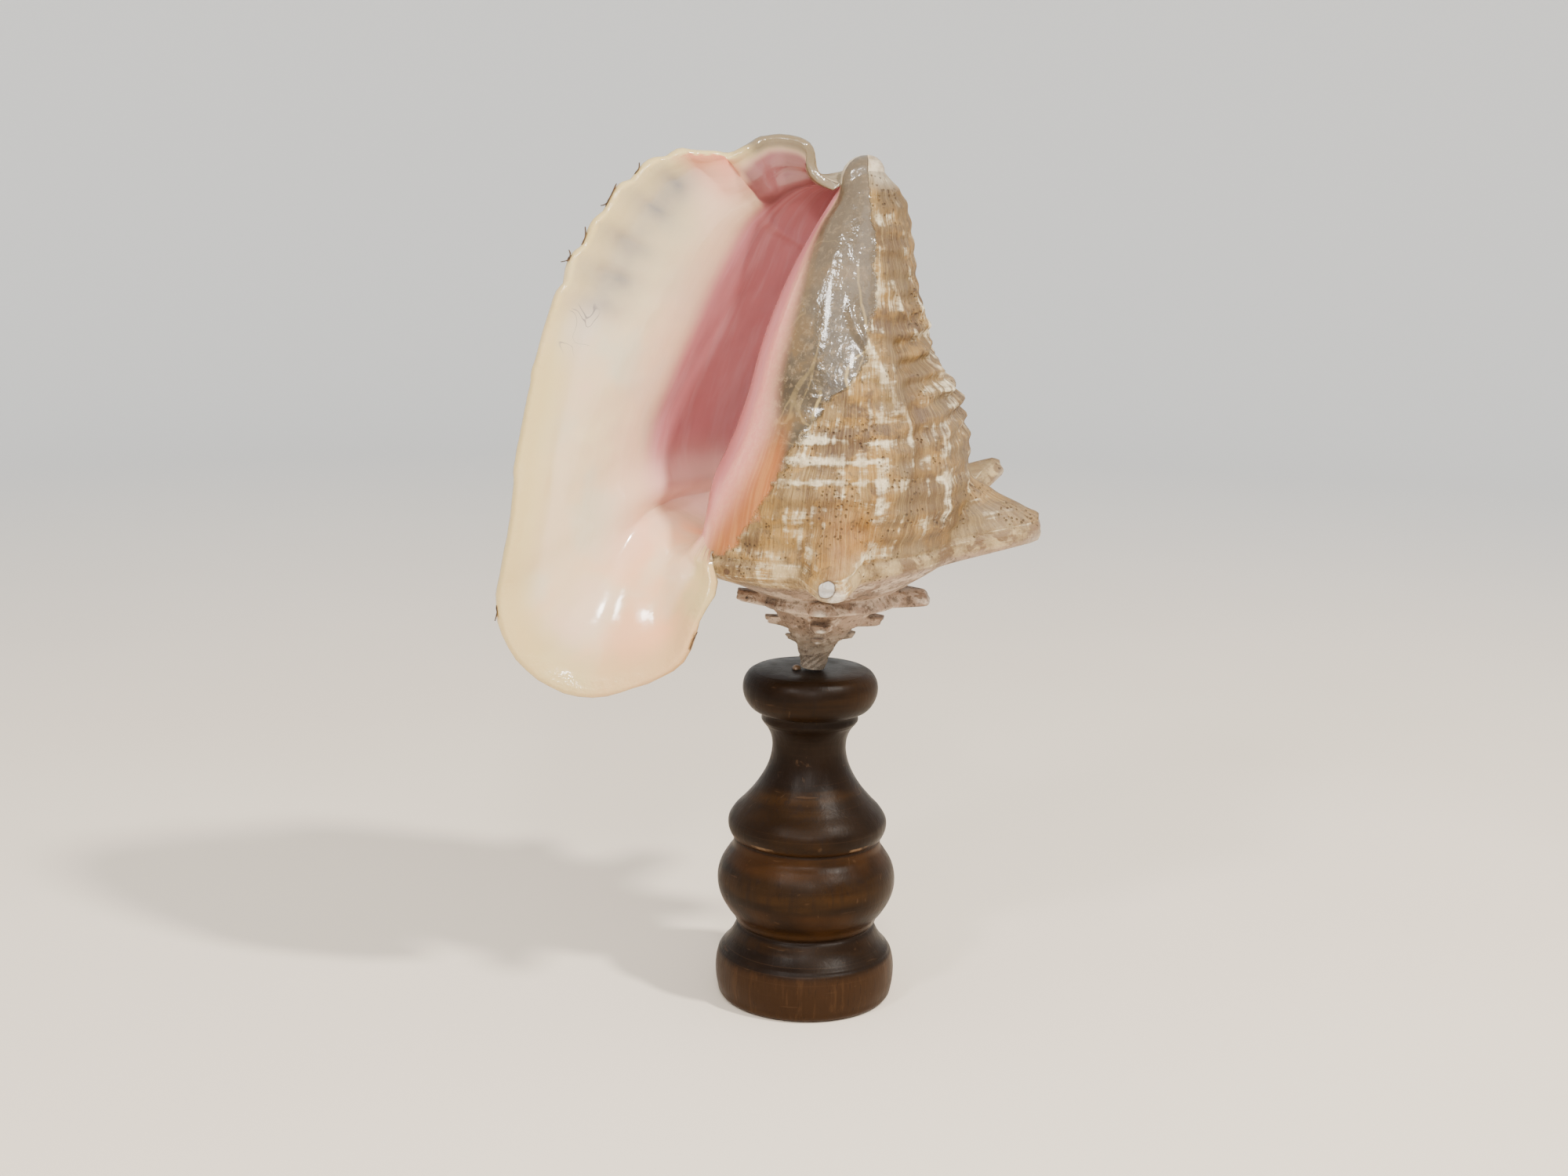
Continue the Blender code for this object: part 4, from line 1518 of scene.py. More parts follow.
class Sheet:
    """A node tree being wired, for a material or a group."""

    def __init__(self, tree: bpy.types.NodeTree) -> None:
        """Keep the tree and place nodes in rows."""
        self.tree = tree
        self.count = 0

    def node(self, kind: str, **settings: object) -> bpy.types.Node:
        """Add a node and set its plain properties.

        Args:
            kind: the node's type.
            settings: its properties by name.

        Returns:
            The node.
        """
        made = self.tree.nodes.new(kind)
        made.location = (180 * (self.count % 12), -220 * (self.count // 12))
        self.count += 1
        for name, value in settings.items():
            setattr(made, name, value)
        return made

    def feed(self, socket: bpy.types.NodeSocket, value: object) -> None:
        """Link an input to a field, or set its plain value.

        Args:
            socket: the input.
            value: a field, a number, a vector or a colour.
        """
        if isinstance(value, Field):
            self.tree.links.new(value.socket, socket)
        elif isinstance(value, tuple) and len(value) == 3 and socket.type == "RGBA":
            socket.default_value = (*value, 1.0)
        else:
            socket.default_value = value

    def wired(self, made: bpy.types.Node, inputs: dict[int | str, object],
              output: int | str = 0) -> Field:
        """Feed a node.

        Args:
            made: the node.
            inputs: what goes into each input.
            output: which output is wanted.

        Returns:
            That output.
        """
        for name, value in inputs.items():
            self.feed(made.inputs[name], value)
        return Field(self, made.outputs[output])

    def math(self, operation: str, a: Field | float, b: Field | float = 0.0) -> Field:
        """One sum."""
        return self.wired(self.node("ShaderNodeMath", operation=operation), {0: a, 1: b})

    def mix(self, share: Field | float, a: Field | Colour, b: Field | Colour) -> Field:
        """Mix two colours."""
        made = self.node("ShaderNodeMix", data_type="RGBA", clamp_factor=True)
        return self.wired(made, {0: share, 6: a, 7: b}, 2)

    def blend(self, share: Field | float, a: Field, b: Field) -> Field:
        """Mix two numbers."""
        made = self.node("ShaderNodeMix", data_type="FLOAT", clamp_factor=True)
        return self.wired(made, {0: share, 2: a, 3: b})

    def noise(self, vector: Field, scale: Field | float, detail: float = 3.0, rough: float = 0.5,
              warp: float = 0.0) -> Field:
        """Noise between 0 and 1.

        Args:
            vector: the place that it reads.
            scale: how close its clouds are.
            detail: how many finer layers it has.
            rough: how strong those layers are.
            warp: how far it is twisted.

        Returns:
            The noise.
        """
        made = self.node("ShaderNodeTexNoise", noise_dimensions="3D")
        return self.wired(made, {"Vector": vector, "Scale": scale, "Detail": detail,
                                 "Roughness": rough, "Distortion": warp})

    def mask(self, name: str) -> Field:
        """One of the piece's own masks."""
        made = self.node("ShaderNodeAttribute", attribute_type="GEOMETRY", attribute_name=name)
        return self.wired(made, {}, "Fac")

    def together(self, x: Field | float, y: Field | float, z: Field | float) -> Field:
        """A vector of three numbers."""
        return self.wired(self.node("ShaderNodeCombineXYZ"), {0: x, 1: y, 2: z})

    def bump(self, height: Field, strength: float, distance: float) -> Field:
        """Raise the surface by a height."""
        made = self.node("ShaderNodeBump")
        return self.wired(made, {"Strength": strength, "Distance": distance, "Height": height})

    def effect(self, group: bpy.types.NodeTree, **inputs: object) -> dict[str, Field]:
        """Place a shared effect with its own values.

        Args:
            group: the effect.
            inputs: its values by name.

        Returns:
            What it gives, by name.
        """
        made = self.node("ShaderNodeGroup", node_tree=group)
        return {out.name: self.wired(made, inputs, out.name) for out in made.outputs}

    def given(self) -> dict[str, Field]:
        """What the group on this sheet is given, by name."""
        start = self.node("NodeGroupInput")
        return {out.name: Field(self, out) for out in start.outputs}

    def give(self, **results: Field) -> None:
        """Hand out what the group on this sheet gives, by name.

        Args:
            results: the fields by name.
        """
        end = self.node("NodeGroupOutput")
        for name, value in results.items():
            self.feed(end.inputs[name], value)


def new_material(name: str) -> tuple[bpy.types.Material, Sheet, bpy.types.Node, Field]:
    """Start a material from its shader.

    Args:
        name: the material's name.

    Returns:
        The material, its sheet, its shader and the piece's own coordinates.
    """
    made = bpy.data.materials.new(name)
    made.use_nodes = True
    made.node_tree.nodes.clear()
    sheet = Sheet(made.node_tree)
    out = sheet.node("ShaderNodeOutputMaterial")
    shader = sheet.node("ShaderNodeBsdfPrincipled")
    sheet.tree.links.new(shader.outputs[0], out.inputs["Surface"])
    place = sheet.wired(sheet.node("ShaderNodeTexCoord"), {}, "Object")
    return made, sheet, shader, place


def new_group(name: str, inputs: dict[str, float | None], outputs: tuple[str, ...]) -> Sheet:
    """Start a node group with named sockets.

    Args:
        name: the group's name.
        inputs: the default of each number that it takes, or None for a vector, by name.
        outputs: the names of the numbers that it gives.

    Returns:
        A sheet on the group's tree.
    """
    tree = bpy.data.node_groups.new(name, "ShaderNodeTree")
    for label, default in inputs.items():
        kind = "NodeSocketVector" if default is None else "NodeSocketFloat"
        socket = tree.interface.new_socket(name=label, in_out="INPUT", socket_type=kind)
        if default is not None:
            socket.default_value = default
    for label in outputs:
        tree.interface.new_socket(name=label, in_out="OUTPUT", socket_type="NodeSocketFloat")
    return Sheet(tree)


def fine_pits_group() -> bpy.types.NodeTree:
    """Scattered small pits and specks of the chalky shell.

    Returns:
        A group that gives a pit mask and a height.
    """
    sheet = new_group("scattered_pits", {"Vector": None, "Size": 400.0, "Amount": 0.5},
                      ("Mask", "Height"))
    given = sheet.given()
    cells = sheet.node("ShaderNodeTexVoronoi", feature="F1")
    spread = sheet.wired(cells, {"Vector": given["Vector"], "Scale": given["Size"]}, "Distance")
    there = sheet.math("GREATER_THAN", sheet.noise(given["Vector"], 60.0), 1.0 - given["Amount"])
    mask = spread.range(0.10, 0.34, 1.0, 0.0) * there
    sheet.give(Mask=mask, Height=mask * -1.0)
    return sheet.tree


def soft_mottle_group() -> bpy.types.NodeTree:
    """Two sizes of soft cloudy variation, for every finish.

    Returns:
        A group that gives a value about one half.
    """
    sheet = new_group("soft_mottle", {"Vector": None, "Scale": 20.0}, ("Value",))
    given = sheet.given()
    broad = sheet.noise(given["Vector"], given["Scale"], 4.0, 0.55)
    finer = sheet.noise(given["Vector"], given["Scale"] * 4.3)
    sheet.give(Value=sheet.blend(0.35, broad, finer))
    return sheet.tree


def light_wear_group() -> bpy.types.NodeTree:
    """Thin pale scratches and small rubs of the old wood.

    Returns:
        A group that gives a mask.
    """
    sheet = new_group("light_wear", {"Vector": None, "Amount": 0.5}, ("Mask",))
    given = sheet.given()
    place = given["Vector"]
    mask = sheet.noise(place, 140.0, 4.0, 0.7).range(0.66, 0.74)
    for x, y, z, low in ((40.0, 70.0, 500.0, 0.69), (420.0, 60.0, 90.0, 0.71),
                         (110.0, 420.0, 130.0, 0.71)):
        line = sheet.noise(place.stretched(x, y, z), 1.0, 2.0, 0.6, 0.2)
        mask = sheet.math("MAXIMUM", mask, line.range(low, low + 0.05))
    sheet.give(Mask=mask * given["Amount"])
    return sheet.tree


@dataclass(frozen=True)
class ShellFinish:
    """Colours and gloss of the shell."""

    chalk: Colour = (0.83, 0.715, 0.475)
    tan: Colour = (0.25, 0.150, 0.046)
    gold: Colour = (0.37, 0.195, 0.034)
    brown: Colour = (0.105, 0.052, 0.017)
    spire: Colour = (0.42, 0.290, 0.200)
    dirt: Colour = (0.045, 0.024, 0.013)
    ivory: Colour = (0.82, 0.660, 0.385)
    cream: Colour = (0.68, 0.505, 0.205)
    rose: Colour = (0.56, 0.205, 0.215)
    lilac: Colour = (0.73, 0.280, 0.250)
    salmon: Colour = (0.97, 0.450, 0.215)
    orange: Colour = (0.37, 0.115, 0.024)
    smoke: Colour = (0.055, 0.037, 0.018)
    gilt: Colour = (0.30, 0.125, 0.020)
    taupe: Colour = (0.105, 0.064, 0.030)
    straw: Colour = (0.47, 0.32, 0.12)
    spire_dark: Colour = (0.135, 0.080, 0.048)
    spire_pale: Colour = (0.62, 0.48, 0.36)
    apex_grey: Colour = (0.25, 0.212, 0.165)
    buff: Colour = (0.53, 0.385, 0.190)
    blot: Colour = (0.125, 0.066, 0.028)
    canal_tip: Colour = (0.56, 0.47, 0.335)
    rubbed: Colour = (0.84, 0.77, 0.66)
    disc_grey: Colour = (0.50, 0.465, 0.42)
    disc_white: Colour = (0.72, 0.68, 0.62)
    spot_brown: Colour = (0.085, 0.040, 0.018)
    smoke_mid: Colour = (0.100, 0.074, 0.042)
    smoke_warm: Colour = (0.17, 0.095, 0.028)
    vein_dim: Colour = (0.52, 0.36, 0.13)
    thread: Colour = (0.62, 0.45, 0.17)
    glaze_speck: Colour = (0.36, 0.25, 0.13)
    smoke_high: Colour = (0.150, 0.112, 0.072)
    smoke_edge: Colour = (0.42, 0.275, 0.150)
    orange_pale: Colour = (0.52, 0.225, 0.068)
    lilac_warm: Colour = (0.76, 0.42, 0.31)
    ivory_deep: Colour = (0.76, 0.57, 0.345)
    ivory_cool: Colour = (0.66, 0.595, 0.415)
    ivory_pink: Colour = (0.82, 0.53, 0.36)
    ivory_upper: Colour = (0.58, 0.450, 0.255)
    cream_low: Colour = (0.58, 0.430, 0.185)
    # Blue-grey of the painted shade in the lip's hollows.
    dip_shade: Colour = (0.165, 0.152, 0.158)
    trace_bed: Colour = (0.62, 0.58, 0.56)
    trace: Colour = (0.24, 0.205, 0.185)
    coral: Colour = (0.62, 0.185, 0.105)
    blush: Colour = (0.88, 0.50, 0.37)
    rose_light: Colour = (0.62, 0.27, 0.28)
    rose_line: Colour = (0.70, 0.38, 0.39)
    # Paler throat pink, partly the shell's own tone and partly painted light.
    throat_pale_and_lit: Colour = (1.0, 0.64, 0.52)
    # The canal lobe's rose, darkened as painted shade.
    canal_rose_shaded: Colour = (0.205, 0.070, 0.066)
    margin_grey: Colour = (0.135, 0.098, 0.060)
    skin_dark: Colour = (0.030, 0.016, 0.009)
    skin_light: Colour = (0.11, 0.06, 0.03)
    knob_tip: Point = (0.0040, -0.0748, 0.1990)
    spot: Point = (-0.036, -0.0062, 0.199)
    veins: tuple[Pairs, ...] = (
        ((0.414, 0.174), (0.430, 0.160), (0.447, 0.153), (0.469, 0.151), (0.492, 0.154),
         (0.516, 0.169), (0.539, 0.184), (0.602, 0.179), (0.680, 0.163), (0.780, 0.150)),
        ((0.356, 0.109), (0.391, 0.110), (0.410, 0.114), (0.450, 0.111)),
        ((0.336, 0.170), (0.370, 0.166), (0.410, 0.163), (0.440, 0.158)),
    )

    def material(self, groups: Groups) -> bpy.types.Material:
        """The shell's one material, led by the masks on its mesh.

        Args:
            groups: the shared effects by name.

        Returns:
            The material.
        """
        made, sheet, shader, place = new_material("queen_conch")
        growth_map = sheet.wired(sheet.node("ShaderNodeUVMap", uv_map="growth"), {})
        outside, out_height = self.outside(sheet, groups, place, growth_map)
        inside, in_height = self.inside(sheet, groups, place, growth_map)
        ragged = (sheet.noise(place, 170.0, 4.0, 0.65) - 0.5) * 1.1
        glaze = (sheet.mask("glaze") + ragged).range(0.35, 0.65)
        colour = sheet.mix(glaze, outside, self.glazed(sheet, place, growth_map))
        colour = sheet.mix(sheet.mask("inner"), colour, inside)
        sheet.feed(shader.inputs["Base Color"], colour)
        mottle = sheet.effect(groups["mottle"], Vector=place, Scale=34.0)["Value"]
        dull = mottle.range(0.3, 0.7, 0.44, 0.7)
        smooth = mottle.range(0.3, 0.7, 0.11, 0.21)
        sheet.feed(shader.inputs["Roughness"], sheet.blend(glaze, dull, smooth))
        sheet.feed(shader.inputs["Coat Weight"], glaze * 0.4)
        shader.inputs["Coat Roughness"].default_value = 0.07
        shader.inputs["Subsurface Weight"].default_value = 0.08
        shader.inputs["Subsurface Radius"].default_value = (0.006, 0.003, 0.0018)
        shader.inputs["Subsurface Scale"].default_value = 1.0
        height = out_height * (1.0 - glaze) + in_height
        uneven = glaze * (1.0 - sheet.mask("inner"))
        height = height + sheet.noise(place, 150.0, 3.0, 0.6) * (uneven * 0.6)
        sheet.feed(shader.inputs["Normal"], sheet.bump(height, 1.0, 0.0011))
        return made

    def dry_skin(self, groups: Groups) -> bpy.types.Material:
        """Dark brown of the dried scraps at the lip's edge.

        Args:
            groups: the shared effects by name.

        Returns:
            The material.
        """
        made, sheet, shader, place = new_material("dried_skin")
        mottle = sheet.effect(groups["mottle"], Vector=place, Scale=400.0)["Value"]
        sheet.feed(shader.inputs["Base Color"],
                   sheet.mix(mottle.range(0.35, 0.65), self.skin_dark, self.skin_light))
        sheet.feed(shader.inputs["Roughness"], mottle.range(0.3, 0.7, 0.5, 0.8))
        sheet.feed(shader.inputs["Normal"], sheet.bump(mottle, 0.5, 0.0003))
        return made

    def outside(self, sheet: Sheet, groups: Groups, place: Field,
                growth_map: Field) -> tuple[Field, Field]:
        """Chalky tan outside with pale blotches in bands, growth streaks and dirt.

        Args:
            sheet: the material's sheet.
            groups: the shared effects by name.
            place: the piece's own coordinates.
            growth_map: growth and share of the side.

        Returns:
            The colour and the height of the surface.
        """
        wavy = self.wavy(sheet, place, growth_map)
        streaks = sheet.noise(wavy.stretched(30.0, 3.4, 1.0), 1.0, 5.0, 0.62, 0.3)
        fine = sheet.noise(wavy.stretched(112.0, 9.0, 1.0), 1.0, 4.0, 0.66, 0.4)
        bands = sheet.noise(wavy.stretched(3.2, 25.0, 1.0), 1.0, 4.0, 0.6)
        cloud = sheet.noise(place, 38.0, 5.0, 0.62)
        patch = sheet.noise(place, 85.0, 4.0, 0.66, 0.5)
        speck = sheet.noise(place, 330.0, 4.0, 0.72)
        pale = (streaks * 0.9 + bands * 1.0 + patch * 0.7 + sheet.mask("pale") * 0.16
                - sheet.mask("dark") * 0.1 + sheet.mask("bands") * 0.26
                - sheet.mask("gilt") * 0.12 - sheet.mask("tawny") * 0.06).range(1.31, 1.57)
        colour = sheet.mix(cloud.range(0.4, 0.62), self.tan, self.brown)
        colour = sheet.mix(patch.range(0.44, 0.6, 0.0, 0.75), colour, self.gold)
        colour = sheet.mix(sheet.mask("gilt") * 0.7, colour, self.gilt)
        grey = sheet.mask("tawny") * cloud.range(0.6, 0.4, 0.35, 0.9)
        colour = sheet.mix(grey, colour, self.taupe)
        colour = sheet.mix(fine.range(0.44, 0.68, 0.0, 0.32), colour, self.straw)
        colour = sheet.mix(fine.range(0.5, 0.32, 0.0, 0.45), colour, self.brown)
        soft = sheet.noise(place, 130.0, 4.0, 0.7).range(0.36, 0.6, 0.45, 0.96)
        colour = sheet.mix(pale * soft, colour, self.chalk)
        colour = sheet.mix(speck.range(0.56, 0.7, 0.0, 0.65), colour, self.dirt)
        colour = sheet.mix(sheet.mask("dark") * 0.35, colour, self.brown)
        spire = sheet.mask("spire")
        spire_colour = sheet.mix(cloud.range(0.4, 0.62, 0.0, 0.7), self.spire, self.spire_dark)
        spire_colour = sheet.mix(patch.range(0.5, 0.62, 0.0, 0.8), spire_colour, self.spire_pale)
        _, _, z = place.apart()
        spire_colour = sheet.mix(z.range(0.174, 0.16, 0.0, 0.7), spire_colour, self.apex_grey)
        spire_colour = sheet.mix(speck.range(0.5, 0.62, 0.0, 0.6), spire_colour, self.dirt)
        cream = sheet.mask("blush") * cloud.range(0.56, 0.4, 0.1, 0.75)
        colour = sheet.mix(cream, colour, self.buff)
        blot = sheet.mask("blush") * patch.range(0.45, 0.53, 0.0, 0.85)
        colour = sheet.mix(blot * sheet.mask("tawny"), colour, self.blot)
        colour = sheet.mix(spire, colour, spire_colour)
        tip = sheet.mask("upper").range(0.93, 0.99) * patch.range(0.35, 0.55, 0.3, 0.8)
        colour = sheet.mix(tip, colour, self.canal_tip)
        pits = sheet.effect(groups["pits"], Vector=place, Size=520.0, Amount=0.45)
        colour = sheet.mix(pits["Mask"] * 0.7, colour, self.dirt)
        rubbed = sheet.mask("worn") * patch.range(0.36, 0.52, 0.25, 0.9)
        colour = sheet.mix(rubbed, colour, self.rubbed)
        away = place.distance(self.knob_tip)
        colour = sheet.mix(away.range(0.0046, 0.004, 0.0, 0.75), colour, self.dirt)
        disc = sheet.mix(patch.range(0.42, 0.6), self.disc_grey, self.disc_white)
        colour = sheet.mix(away.range(0.004, 0.0034), colour, disc)
        spot = place.stretched(1.0, 0.15, 1.0).distance(self.spot)
        colour = sheet.mix(spot.range(0.0015, 0.0011, 0.0, 0.9), colour, self.spot_brown)
        height = (streaks * 0.8 + fine * 0.7 + speck * 0.4 + patch * 0.55
                  + pits["Height"] * 0.6)
        return colour, height

    def wavy(self, sheet: Sheet, place: Field, growth_map: Field) -> Field:
        """The growth map with its lines made slightly uneven.

        Args:
            sheet: the material's sheet.
            place: the piece's own coordinates.
            growth_map: growth and share of the side.

        Returns:
            The uneven map.
        """
        x, y, _ = growth_map.apart()
        sway = (sheet.noise(place, 26.0, 2.0) - 0.5) * 0.07
        nod = (sheet.noise(place, 19.0, 2.0) - 0.5) * 0.05
        return sheet.together(x + sway, y + nod, 0.0)

    def glazed(self, sheet: Sheet, place: Field, growth_map: Field) -> Field:
        """Clear glaze over the body: pink by the opening, smoky above, orange below.

        Args:
            sheet: the material's sheet.
            place: the piece's own coordinates.
            growth_map: growth and share of the side.

        Returns:
            The colour.
        """
        cloud = sheet.noise(place, 60.0, 4.0, 0.6)
        speck = sheet.noise(place, 420.0, 3.0, 0.7)
        smoke = sheet.mix(cloud.range(0.38, 0.62), self.smoke, self.smoke_mid)
        smoke = sheet.mix(cloud.range(0.52, 0.7, 0.0, 0.8), smoke, self.smoke_warm)
        veins = sheet.noise(place.stretched(34.0, 34.0, 21.0), 1.0, 2.5, 0.45, 0.5)
        off = abs(veins - 0.5)
        line = off.range(0.0075, 0.002) * cloud.range(0.4, 0.52, 0.05, 0.25)
        smoke = sheet.mix(line, smoke, self.vein_dim)
        for path in self.veins:
            smoke = sheet.mix(self.vein(sheet, place, growth_map, path), smoke, self.thread)
        smoke = sheet.mix(speck.range(0.5, 0.66, 0.0, 0.4), smoke, self.glaze_speck)
        high = sheet.mask("upper").range(0.42, 0.72, 0.0, 0.6)
        smoke = sheet.mix(high, smoke, self.smoke_high)
        smoke = sheet.mix(sheet.mask("pink").range(0.0, 0.7, 0.0, 0.8), smoke, self.smoke_edge)
        streak = sheet.noise(growth_map.stretched(46.0, 3.0, 1.0), 1.0, 4.0, 0.6)
        stripe = sheet.mix(streak.range(0.42, 0.62, 0.0, 0.5), self.orange, self.orange_pale)
        colour = sheet.mix(sheet.mask("orange"), smoke, stripe)
        edge = sheet.mix(speck.range(0.42, 0.62, 0.0, 0.35), self.lilac, self.lilac_warm)
        return sheet.mix(sheet.mask("pink"), colour, edge)

    def vein(self, sheet: Sheet, place: Field, growth_map: Field, path: Pairs) -> Field:
        """A pale thread under the glaze, through points by share of the side and turn.

        Args:
            sheet: the material's sheet.
            place: the piece's own coordinates.
            growth_map: growth and share of the side.
            path: the thread's points.

        Returns:
            The thread's mask.
        """
        _, part, _ = growth_map.apart()
        curve = sheet.node("ShaderNodeFloatCurve")
        line = curve.mapping.curves[0]
        line.points[0].location, line.points[1].location = path[0], path[-1]
        for spot in path[1:-1]:
            line.points.new(*spot)
        curve.mapping.update()
        centre = sheet.wired(curve, {"Value": part})
        sway = (sheet.noise(place, 160.0, 2.0) - 0.5) * 0.008
        off = sheet.mask("turn") + sway - centre
        thread = abs(off).range(0.004, 0.001, 0.0, 0.5)
        first, last = path[0][0], path[-1][0]
        ends = part.range(first - 0.01, first + 0.02) * part.range(last, last - 0.05)
        return thread * ends

    def inside(self, sheet: Sheet, groups: Groups, place: Field,
               growth_map: Field) -> tuple[Field, Field]:
        """Glossy ivory lip turning rose in the opening and peach in the lower lobe.

        Args:
            sheet: the material's sheet.
            groups: the shared effects by name.
            place: the piece's own coordinates.
            growth_map: growth and share of the side.

        Returns:
            The colour and the height of the surface.
        """
        cloud = sheet.effect(groups["mottle"], Vector=place, Scale=15.0)["Value"]
        tint = sheet.noise(place, 24.0, 3.0, 0.5)
        ivory = sheet.mix(cloud.range(0.4, 0.58), self.ivory, self.ivory_deep)
        ivory = sheet.mix(tint.range(0.5, 0.64, 0.0, 0.75), ivory, self.ivory_cool)
        ivory = sheet.mix(tint.range(0.46, 0.34, 0.0, 0.55), ivory, self.ivory_pink)
        ivory = sheet.mix(sheet.mask("upper").range(0.35, 0.62, 0.0, 0.75), ivory,
                          self.ivory_upper)
        edge = sheet.mask("edge")
        rim = edge.range(0.2, 0.95) * cloud.range(0.3, 0.55, 0.45, 0.95)
        ivory = sheet.mix(rim, ivory, self.cream)
        bottom = sheet.mask("lobe") * edge.range(0.05, 0.6, 0.0, 0.9)
        ivory = sheet.mix(bottom, ivory, self.cream_low)
        # Blue-grey painted shade in the hollows behind the upper scallops.
        dip_shade = sheet.mask("dip_shade_mask") * cloud.range(0.35, 0.55, 0.6, 0.95)
        ivory = sheet.mix(dip_shade, ivory, self.dip_shade)
        squiggle = abs(sheet.noise(place, 95.0, 1.0, 0.4, 0.6) - 0.5)
        squiggle = squiggle.range(0.012, 0.005) * sheet.mask("trace").range(0.3, 0.5)
        ivory = sheet.mix(sheet.mask("trace") * 0.45, ivory, self.trace_bed)
        ivory = sheet.mix(squiggle * 0.85, ivory, self.trace)
        peach = sheet.mask("lobe") * tint.range(0.36, 0.56)
        peach = peach * edge.range(1.0, 0.3, 0.35, 0.9)
        ivory = sheet.mix(peach, ivory, self.salmon)
        ivory = sheet.mix(sheet.mask("orange") * tint.range(0.36, 0.56, 0.6, 1.0), ivory,
                          self.coral)
        ivory = sheet.mix(sheet.mask("blush") * 0.45, ivory, self.blush)
        rose = sheet.mix(cloud.range(0.4, 0.62, 0.0, 0.4), self.rose, self.rose_light)
        lines = sheet.noise(growth_map.stretched(9.0, 3.0, 1.0), 1.0, 3.0, 0.55)
        rose = sheet.mix(lines.range(0.46, 0.66, 0.0, 0.3), rose, self.rose_line)
        # Paler pink low in the throat, partly the shell's own tone and partly painted light on the
        # lit lower mouth.
        rose = sheet.mix(sheet.mask("pale"), rose, self.throat_pale_and_lit)
        # The canal lobe's pink, darkened as painted shade.
        rose = sheet.mix(sheet.mask("canal") * 0.9, rose, self.canal_rose_shaded)
        colour = sheet.mix(sheet.mask("pink"), ivory, rose)
        grey = sheet.mask("upper").range(0.795, 0.825) * edge.range(0.25, 0.85)
        colour = sheet.mix(grey * 0.9, colour, self.margin_grey)
        gentle = sheet.noise(growth_map.stretched(9.0, 5.0, 1.0), 1.0, 3.0, 0.5)
        broad = sheet.noise(place, 45.0, 2.0, 0.5)
        margin = sheet.noise(place, 190.0, 3.0, 0.6)
        height = gentle * 0.28 + broad * 0.5 + margin * edge.range(0.82, 1.0, 0.0, 0.55)
        return colour, height


